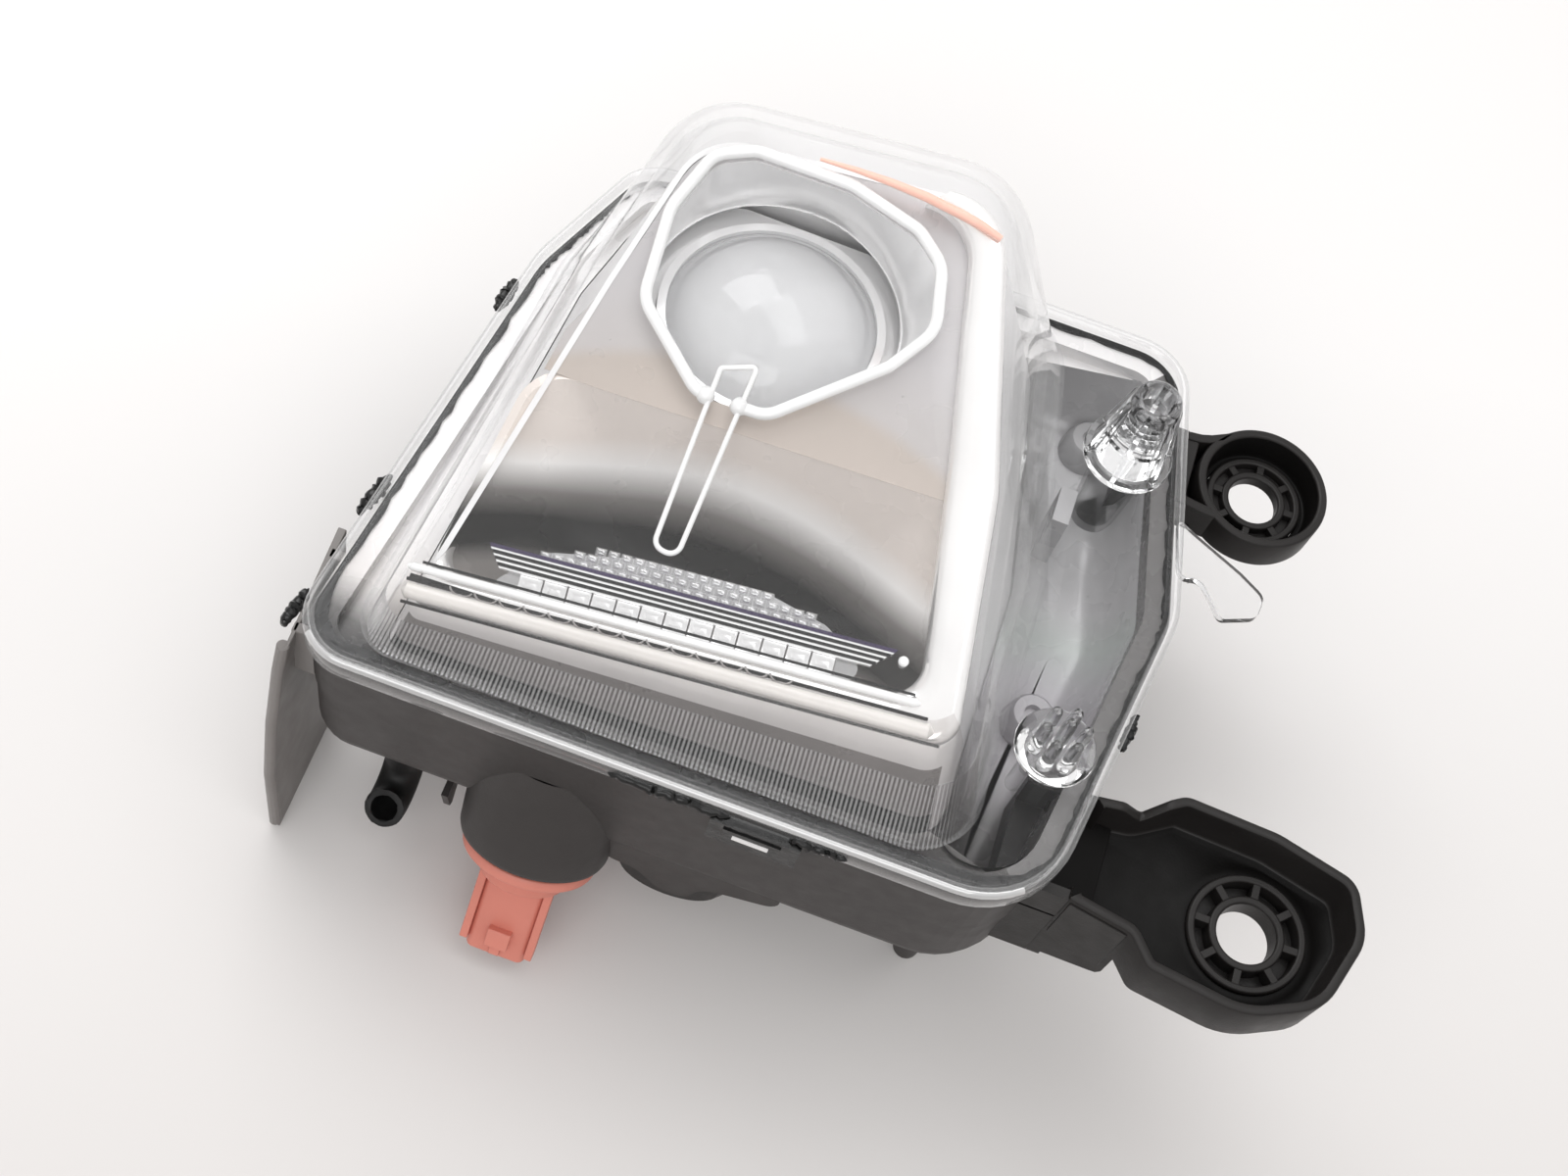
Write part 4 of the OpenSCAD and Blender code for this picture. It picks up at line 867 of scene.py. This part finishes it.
def make_housing():
    n, m = 8, 10
    per = n + m
    body = Shape()
    # Rim lip with a crease, open inside
    lip = [(1.5, -5), (1.5, -12.2), (2.2, -13.2), (2.3, -32.2), (2.9, -33.2), (3.2, -57), (4.0, -61),
           (6.5, -65), (9, LIP_FOOT), (9, -64), (6, -57), (5.4, -14), (9, -13), (9, -5)]
    walls = hoops(RIM, lip, n, m)
    body.loft(walls[:-1])
    right, rest = (per + n // 2, 3 * per + n // 2), (3 * per + n // 2, 7 * per + n // 2)
    for span, colour in ((right, 3), (rest, 2)):
        body.part(walls[-2:] + walls[:1], *span, colour)
    # Bottom of the lip, round the mouth of the tub
    foot = rounded(inset(RIM, 9), n, m)
    body.loft([level(foot, LIP_FOOT), level(spokes(inset(TUB, 3), foot, Vector((-20, 95))), LIP_FOOT)])
    # Deep tub with a rounded bottom
    shell = [(0, -58), (0.4, -64), (1.6, -70), (4.5, -76), (8.5, -79.2), (12, TUB_FLOOR)]
    tub = hoops(TUB, shell, n, m)
    inside = hoops(TUB, [(d + 3, max(z, TUB_INSIDE)) for d, z in shell[::-1]], n, m)
    body.loft(tub)
    body.loft(inside)
    body.loft([tub[0], inside[-1]])
    # Floor of the tub, open over the rear can
    axis = PROJECTOR.to_2d()
    hole = [p.to_2d() + axis for p in circle(CAN_BORE, 0, 72)]
    for d, z in ((12, TUB_FLOOR), (15, TUB_INSIDE)):
        body.loft([level(spokes(inset(TUB, d), hole, axis), z), level(hole, z)])
    # Ledge under the flange
    ledge = [hoop(RIM, 5, LEDGE_Z, n, m), hoop(BASE, 5.3, LEDGE_Z, n, m)]
    body.part(ledge, *rest, 2)
    # Boss of the turn-signal socket, swept up to the crease
    profile = ((14.4, 34), (14.4, 0), (20.8, 0), (21.7, 0.6), (22.2, 2), (22.6, 8))
    mouth = [[SOCKET @ p for p in circle(r, z, 64)] for r, z in profile]
    crease = circle(25, CREASE_Z, 64, (TURN_FACE.x, 26.5))
    swept = [[p.lerp(q, s) + Vector((0, 5 * s * (1 - s), 0)) for p, q in zip(mouth[-1], crease)]
             for s in (0.25, 0.5, 0.75, 1)]
    body.loft(mouth + swept)
    # Round lug and flap under the front wall
    body.turned([(0, 0), (17, 0), (17, 5), (15, 7), (0, 7)], 1, shift(-2, 12, -76) @ UPRIGHT, n=48, close=False)
    body.prism(rounded(FLAP, 5), -5.6, -3.4, place=UPRIGHT)
    # Fin beside the vent
    body.prism(flat((4, -76), (7, -90), (9, -92), (20, -76)), -72, -70, place=spin(90) @ UPRIGHT)
    # Rear can
    can = [(41.5, -101), (45, -101), (46, -100), (46, -78), (CAN_BORE, -78), (CAN_BORE, -97.5), (41.5, -97.5)]
    body.turned(can, place=Matrix.Translation(PROJECTOR), n=72)
    # Blocks that carry the arms
    for low, high in (((80, 13, -52), (99, 44.5, -22)), ((80, 13, -23), (99.2, 16, -9)),
                      ((80, 41.5, -23), (99.2, 44.5, -9)), ((82, 150, -60), (99, 177, -20))):
        body.box(low, high, 1)
    # Feet
    for x, y, r, top in ((74, 25, 4, -65), (54, 140, 5, -79), (-72, 166, 5, -79)):
        body.turned([(0, FLOOR_Z), (r - 0.6, FLOOR_Z), (r, FLOOR_Z + 0.6), (r + 2.3, top - 2), (r + 5, top + 1),
                     (0, top + 1)], place=shift(x, y), n=32, close=False)
    body.done("housing_shell", [HOUSING, ARM_BLACK, LEDGE_DARK_TO_PALE, GREY_LEDGE], slot="housing_plastic",
              replaces=("housing",), angle=38, bevel=0.5)

    # Side skirt: curved sheet with a thick front edge and ribs
    skirt = Shape()
    spine = [(5, PANEL_TOP), (3.4, -30), (0, -60), (-5, -86), (-9, FLOOR_Z)]
    back = [(44, PANEL_TOP), (43, -30), (40, -60), (36, -90), (30, FLOOR_Z)]
    rings = []
    edge = []
    for (y0, z0), (y1, z1) in zip(spine, back):
        bow = PANEL_BOW * math.sin(math.pi * (z0 - PANEL_TOP) / (FLOOR_Z - PANEL_TOP))
        rings.append(flat((-118.5 - bow, y0, z0), (-117.5 - bow, y0, z0), (-117.5, y1, z1), (-120, y1, z1)))
        edge.append(Vector((-119 - bow, y0 + 0.6, z0 + (2.2 if z0 == FLOOR_Z else 0))))
    skirt.loft(rings, caps=(True, True))
    skirt.rod(edge, 1.9, n=10)
    for y in (12, 36):
        skirt.box((-119, y - 1.5, -40), (-108, y + 1.5, PANEL_TOP))
    skirt.done("side_skirt", [SKIRT], slot="housing_plastic", bevel=0.3)

    # Grey pocket under the right flange, with two bosses and an upright; its tones are painted reflection
    pocket = Shape()
    walls = [(0, -8), (1.5, -22), (4, -32), (8, -36.5), (12, POCKET_FLOOR)]
    wells = hoops(TRAY, walls, n, m)
    pocket.loft(wells)
    pocket.fan(wells[-1], Vector((80, 96, POCKET_FLOOR)))
    boss = [(8, POCKET_FLOOR + 0.1), (6.5, -30), (5.6, -29), (2.6, -29), (2.2, -31), (0, -31)]
    for x, y in ((79, 72), (72, 168)):
        pocket.turned(boss, place=shift(x, y), n=32, close=False)
    pocket.box((66, 126, POCKET_FLOOR), (71, 138, -14))
    pocket.done("pocket_tray", [POCKET_REFLECTION], slot="satin_grey", angle=45)


def make_seal():
    """Sealant along the rim, with lumps where it was squeezed out."""
    rng = random.Random(4)
    n, m = 10, 30
    bead = Shape()
    inner = rounded(inset(RIM, 8.2), n, m)
    outer = rounded(inset(RIM, 2.2), n, m)
    ragged = []
    for a, b in zip(inner, outer):
        thin = 0.72 * min(1, max(0, (a.y - 8) / 12))
        ragged.append(a.lerp(b, thin + rng.uniform(-0.08, 0.08)))
    bead.loft([level(outer, -5), level(outer, -4.05), level(ragged, -4.05), level(ragged, -5)], close=True)
    bead.done("sealant_bead", [SEALANT], slot="black_rubber", replaces=("sealant",))

    lumps = Shape()
    runs = [((-26, -0.8), (8, -0.6), 1.9), ((24, -0.6), (40, -0.4), 1.4), ((-105, 120), (-103, 132), 2.1),
            ((-114.4, 44), (-110.8, 58), 2.3), ((-119, 6), (-117, 18), 2.0), ((101.2, 57), (103, 70), 1.6)]
    count = 26
    for (x0, y0), (x1, y1), size in runs:
        path = []
        sizes = []
        for k in range(count + 1):
            s = k / count
            swell = math.sin(math.pi * s) ** 0.4
            path.append(Vector((x0 + (x1 - x0) * s + rng.uniform(-0.25, 0.25),
                                y0 + (y1 - y0) * s + rng.uniform(-0.3, 0.3), -4.2 + rng.uniform(-0.6, 0.6))))
            sizes.append(max(0.15, size * swell * rng.uniform(0.72, 1.1)))
        lumps.rod(path, sizes, n=9)
    # Clip block on the front edge
    lumps.box((3, -2.7, -17), (28, 0.2, -5))
    lumps.box((7, -3.2, -13), (23, -2.4, -7))
    lumps.box((10, -3.4, -11.4), (20, -3, -9), 1)
    lumps.done("squeezed_sealant", [SEALANT, SATIN], slot="black_plastic", replaces=("rim_clips",), angle=60,
               bevel=0.25)


# Mount arms

def bush(name, node, mount, r, hole, h):
    ring = Shape()
    place = Matrix.Translation(mount - Vector((0, 0, h)))
    floor = 0.3 * h
    ring.turned([(hole, 0.4), (hole + 0.4, 0), (r - 0.2, 0), (r - 0.02, 0.4), (r - 0.02, h - 0.6), (r - 0.5, h),
                 (r - 1.9, h), (r - 2.3, h - 0.4), (r - 2.3, floor), (hole + 2.3, floor), (hole + 2.3, h - 0.4),
                 (hole + 1.9, h), (hole + 0.5, h), (hole, h - 0.5)], place=place, n=72)
    for k in range(8):
        ring.box((hole + 1.5, -1.1, floor - 0.4), (r - 1.2, 1.1, h - 0.4), place=place @ spin(45 * k))
    ring.done(name, [ARM_BLACK], slot="black_plastic", replaces=(node,), bevel=0.2)


def make_arms():
    lower = Shape()
    n, m = 6, 10
    mid = LOWER_MOUNT

    def outline(d):
        return rounded(inset(ARM, d), n, m)

    def around(r):
        out = []
        for p in outline(0):
            ray = Vector((p.x - mid.x, p.y - mid.y)).normalized()
            out.append(Vector((mid.x + r * ray.x, mid.y + r * ray.y)))
        return out

    def brim(d, z):
        """The rim dips in a V in the far wall and opens at the root, under the flange."""
        out = []
        for p in outline(d):
            dip = 0.8 * max(0, 6 - abs(p.x - 113)) if p.y > 38 else 0
            opened = p.x < 103 and 17 < p.y < 41
            out.append(Vector((p.x, p.y, -20.5 if opened else z - dip)))
        return out

    bottom = mid.z - 7.5
    rings = [level(around(17), bottom), level(around(20), bottom), level(outline(1.2), bottom),
             level(outline(0.3), bottom + 0.4), level(outline(0), bottom + 1.4), brim(0, -8.8), brim(0.3, -8.2),
             brim(0.9, -8.0), brim(2.2, -8.0), brim(2.8, -8.3), brim(3.0, -9.0), level(outline(3.2), -20.6),
             level(outline(4.0), -21.6), level(outline(5.6), -22.0), level(around(19.5), -22.0),
             level(around(19.0), -21.6), level(around(17), -21.6)]
    lower.loft(rings[:13])
    # Trough floor in the darker copy: painted shade
    lower.loft(rings[12:], 1)
    lower.loft([rings[-1], rings[0]])
    # Foot plate, near cheek with its raised panel, gusset, ramp on the trough's floor
    cheek = shift(99, 13) @ spin(-9.5) @ UPRIGHT
    lower.box((99, 13, -52), (103, 44.5, -20.5))
    lower.prism(flat((0, -50), (17, -43.4), (19, -42.4), (20, -40), (20, -26), (0, -26)), -3, 0, place=cheek)
    lower.prism(flat((1, -33), (9, -37.5), (11, -36), (18, -36.5), (18, -10), (1, -10)), -0.2, 0.5, place=cheek)
    lower.prism(flat((99, -44), (131, -26), (99, -26)), -31, -28, place=UPRIGHT)
    # Ramp in the darker copy: painted shade
    lower.prism(flat((88, -23), (108, -22.4), (107.6, -20.6), (106, -20.2), (88, -15)), -42, -15.5, 1, UPRIGHT)
    lower.done("lower_arm_trough", [ARM_BLACK, ARM_SHADE], slot="black_plastic", replaces=("lower_arm",),
               angle=40, bevel=0.35)
    bush("lower_bush_ring", "lower_bush", LOWER_MOUNT, 17, 8.5, 8)

    upper = Shape()
    cup = Matrix.Translation(UPPER_MOUNT)
    upper.turned([(15.05, -4.5), (19.7, -4.5), (20.4, -4.0), (20.5, -3.2), (20.5, 7.2), (20.1, 8), (18.1, 8),
                  (17.6, 7.4)], place=cup, n=96, close=False)
    # Inside of the cup in the darker copy: painted shade
    upper.turned([(17.6, 7.4), (17.4, -0.6), (16.5, -2), (15.05, -2), (15.05, -4.5)], 1, cup, n=96, close=False)
    upper.box((99, 150, -60), (103, 177, -20.6))
    # Neck: a floor between two walls that curve into the cup
    low, high = UPPER_MOUNT.z - 4.5, UPPER_MOUNT.z + 8
    floor = flat((99, 152), (108, 150.5), (110, 155), (106, 167), (108, 178), (99, 176))
    near = flat((99, 152), (106, 151), (113.5, 150.4), (111.5, 153.4), (106, 154), (99, 155))
    far = flat((99, 174.2), (103, 174.6), (106, 175.6), (110, 178), (113.5, 183.4), (110, 181), (106, 178.7),
               (103, 177.6), (99, 177))
    # Neck floor in the darker copy: painted shade
    upper.prism(floor, low, UPPER_MOUNT.z - 1, 1)
    upper.prism(near, low, high)
    upper.prism(far, low, high)
    upper.done("upper_arm_cup", [ARM_BLACK, ARM_SHADE], slot="black_plastic", replaces=("upper_arm",), angle=40,
               bevel=0.35)
    bush("upper_bush_ring", "upper_bush", UPPER_MOUNT, 15, 7.8, 4.5)


# Turn-signal socket and vent

def make_socket():
    body = Shape()
    body.turned([(0, -5), (18.8, -5), (19.8, -4.4), (20, -3.6), (20, -1.6), (19.6, -1), (14, -1), (14, 22.6),
                 (13.6, 23), (9.3, 23), (9.3, 6), (0, 6)], place=SOCKET, n=72, close=False)
    body.lugs(SOCKET, 13, 17.1, 4, 8)
    # Round grip under the flange, connector with a rounded end, rails and latch
    body.turned([(0, -12), (12.6, -12), (13.4, -11.4), (13.6, -10), (13.6, -5), (0, -5)], place=SOCKET, n=64,
                close=False)
    shell = rounded([(-9, -6, 2), (9, -6, 2), (9, 7, 2.5), (-9, 7, 2.5)], 5)
    hollow = rounded([(-7, -4, 1), (7, -4, 1), (7, 5, 1), (-7, 5, 1)], 5)
    body.loft([level(shell, -10), level(shell, -38), level([p * 0.95 for p in shell], -39), level(hollow, -39),
               level(hollow, -21.4)], place=SOCKET, caps=(False, True))
    for s in (-1, 1):
        body.box((s * 10 - 1.2, -7, -36), (s * 10 + 1.2, -2.5, -5), place=SOCKET)
    body.box((-3.5, -8.5, -35), (3.5, -5.8, -29), place=SOCKET)
    body.box((-1.6, -7.4, -38), (1.6, -5.8, -35), place=SOCKET)
    body.done("socket_body", [CORAL], body="socket", slot="coral", replaces=("turn_socket",), angle=38,
              bevel=0.35)

    vent = Shape()
    foot = Vector((-88, 17, -80))
    bend = [foot + Vector((0, 0, z)) for z in (1, -5, -9)]
    for k in range(1, 13):
        a = math.radians(143 * k / 12)
        bend.append(foot + Vector((0, -9 + 9 * math.cos(a), -9 - 9 * math.sin(a))))
    for r in (6.0, 4.0):
        vent.rod(bend, r, n=32, ends=False)
    # Uneven cut end
    run = (bend[-1] - bend[-2]).normalized()
    side = Vector((1, 0, 0))
    up = run.cross(side)
    rng = random.Random(9)
    rings = []
    for r, lift in ((4.0, 0), (4.1, 0.5), (5.0, 0.7), (5.9, 0.4), (6.0, -0.4)):
        ring = []
        for k in range(32):
            a = 2 * math.pi * k / 32
            out = (side * math.cos(a) + up * math.sin(a)) * (r + rng.uniform(-0.12, 0.12))
            ring.append(bend[-1] + out + run * (lift + rng.uniform(-0.2, 0.2)))
        rings.append(ring)
    vent.loft(rings)
    vent.done("vent_hose", [RUBBER], slot="black_rubber", replaces=("vent_elbow",), angle=50)


# Pieces on the back

def make_rear():
    cover = Shape()
    place = Matrix.Translation(PROJECTOR)
    cover.turned([(0, -107), (44.5, -107), (46.4, -106.4), (47, -105.4), (47, -103.6), (46.6, -103),
                  (41.1, -103), (41.1, -94.4), (40.7, -94), (38, -94), (38, -102), (0, -102)], place=place,
                 n=96, close=False)
    cover.lugs(place, 39.5, 43.5, -97, -94)
    grip = rounded([(-30, -3, 2), (30, -3, 2), (30, 3, 2), (-30, 3, 2)], 5)
    cover.prism(grip, -109.5, -106.5, place=place)
    for k in range(24):
        cover.box((44.6, -1.2, -106.2), (47.3, 1.2, -103.4), place=place @ spin(15 * k))
    for r in (14, 24, 36):
        ring = [(r - 0.6, -107.5), (r + 0.6, -107.5), (r + 0.6, -106.8), (r - 0.6, -106.8)]
        cover.turned(ring, place=place, n=72)
    cover.done("rear_cap", [ARM_BLACK], body="cover", slot="black_plastic", replaces=("rear_cover",), angle=38,
               bevel=0.3)


CAD_MATERIALS = {
    "arm_screws": STEEL, "pivot_brackets": CAST, "main_connector": ARM_BLACK, "connector_pins": BRASS,
    "carrier_frame": CAST, "bowl_reflector": SILVER, "lens_holder": SILVER, "lens_retainer": SILVER,
    "main_bulb": BULB, "shield_drive": ARM_BLACK, "cutoff_shield": STEEL, "aim_nut": NATURAL,
    "aim_screw": STEEL, "turn_seal": RUBBER, "turn_bulb": AMBER_BULB, "turn_terminals": BRASS,
    "cover_seal": RUBBER, "projector_lens": GLASS,
}


def dress_cad():
    for node, mat in CAD_MATERIALS.items():
        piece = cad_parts[node]
        if not piece.material_slots:
            piece.data.materials.append(mat)
        for s in piece.material_slots:
            s.material = mat


# Stage

def make_stage():
    floor = bpy.data.meshes.new("floor")
    corners = rect(FLOOR_REACH, FLOOR_REACH, at((0, 0, FLOOR_Z)).z)
    floor.from_pydata(corners, [], [(0, 1, 2, 3)])
    mat, tree, bsdf = new_material("paper_floor")
    # Painted shade on the paper: darker towards the front and the right on a slant, with a faint waver
    spot = axes(tree, coordinates(tree))
    slant = maths(tree, "MULTIPLY_ADD", spot["X"], -0.3, spot["Y"])
    moved = maths(tree, "MULTIPLY_ADD", noise(tree, 3, 3), 0.08, slant)
    tones = [(0.0, (0.57, 0.547, 0.536)), (0.5, (0.69, 0.67, 0.66)), (1.0, (0.775, 0.762, 0.757))]
    paint(tree, spread(tree, moved, 0, 1, -0.2, 0.3), tones, bsdf.inputs["Base Color"])
    bsdf.inputs["Roughness"].default_value = 0.6
    bsdf.inputs["Specular IOR Level"].default_value = 0.2
    floor.materials.append(mat)
    piece = bpy.data.objects.new("floor", floor)
    bpy.context.scene.collection.objects.link(piece)


def area_light(name, place, size, power):
    data = bpy.data.lights.new(name, "AREA")
    data.shape = "RECTANGLE"
    data.size, data.size_y = size
    data.energy = power
    lamp = bpy.data.objects.new(name, data)
    lamp.location = place
    lamp.rotation_euler = (Vector(LAMP_TARGET) - Vector(place)).to_track_quat("-Z", "Y").to_euler()
    bpy.context.scene.collection.objects.link(lamp)


def make_light():
    world = bpy.data.worlds.new("studio")
    world.use_nodes = True
    bpy.context.scene.world = world
    tree = world.node_tree
    back = tree.nodes["Background"]
    height = axes(tree, coordinates(tree, "Generated"))["Z"]
    tones = [(0.0, (0.62, 0.61, 0.6)), (0.35, (0.8, 0.79, 0.785)), (1.0, (1.0, 0.995, 0.99))]
    paint(tree, height, tones, back.inputs["Color"])
    # Full white for what the camera, mirrors and glass show, a plain level for the light on the part
    path = tree.nodes.new("ShaderNodeLightPath").outputs
    seen = path["Is Camera Ray"]
    for kind in ("Is Glossy Ray", "Is Transmission Ray"):
        seen = maths(tree, "MAXIMUM", seen, path[kind])
    tree.links.new(spread(tree, seen, LIGHT_LEVEL, 1.0, 0.0, 1.0), back.inputs["Strength"])
    area_light("key", (-0.75, 0.75, 1.15), (0.9, 0.9), 7.6)
    area_light("top", (0.1, 0.3, 1.4), (1.2, 0.7), 5)
    area_light("front", (-0.2, -0.95, 0.95), (1.2, 0.6), 5)


def make_camera():
    data = bpy.data.cameras.new("camera")
    data.lens = CAMERA_LENS
    data.sensor_width = CAMERA_SENSOR
    data.clip_start = 0.01
    cam = bpy.data.objects.new("camera", data)
    up = CAMERA_RIGHT.cross(CAMERA_LOOK).normalized()
    turn = Matrix((CAMERA_RIGHT, up, -CAMERA_LOOK)).transposed()
    cam.matrix_world = Matrix.Translation(CAMERA_PLACE) @ turn.to_4x4()
    bpy.context.scene.collection.objects.link(cam)
    bpy.context.scene.camera = cam


make_camera()
make_lens()
make_flutes()
make_posts()
make_bezel()
make_tunnel()
make_reflector()
make_front_trim()
make_housing()
make_seal()
make_arms()
make_socket()
make_rear()
dress_cad()
make_stage()
make_light()
bpy.context.scene.view_settings.view_transform = "Standard"
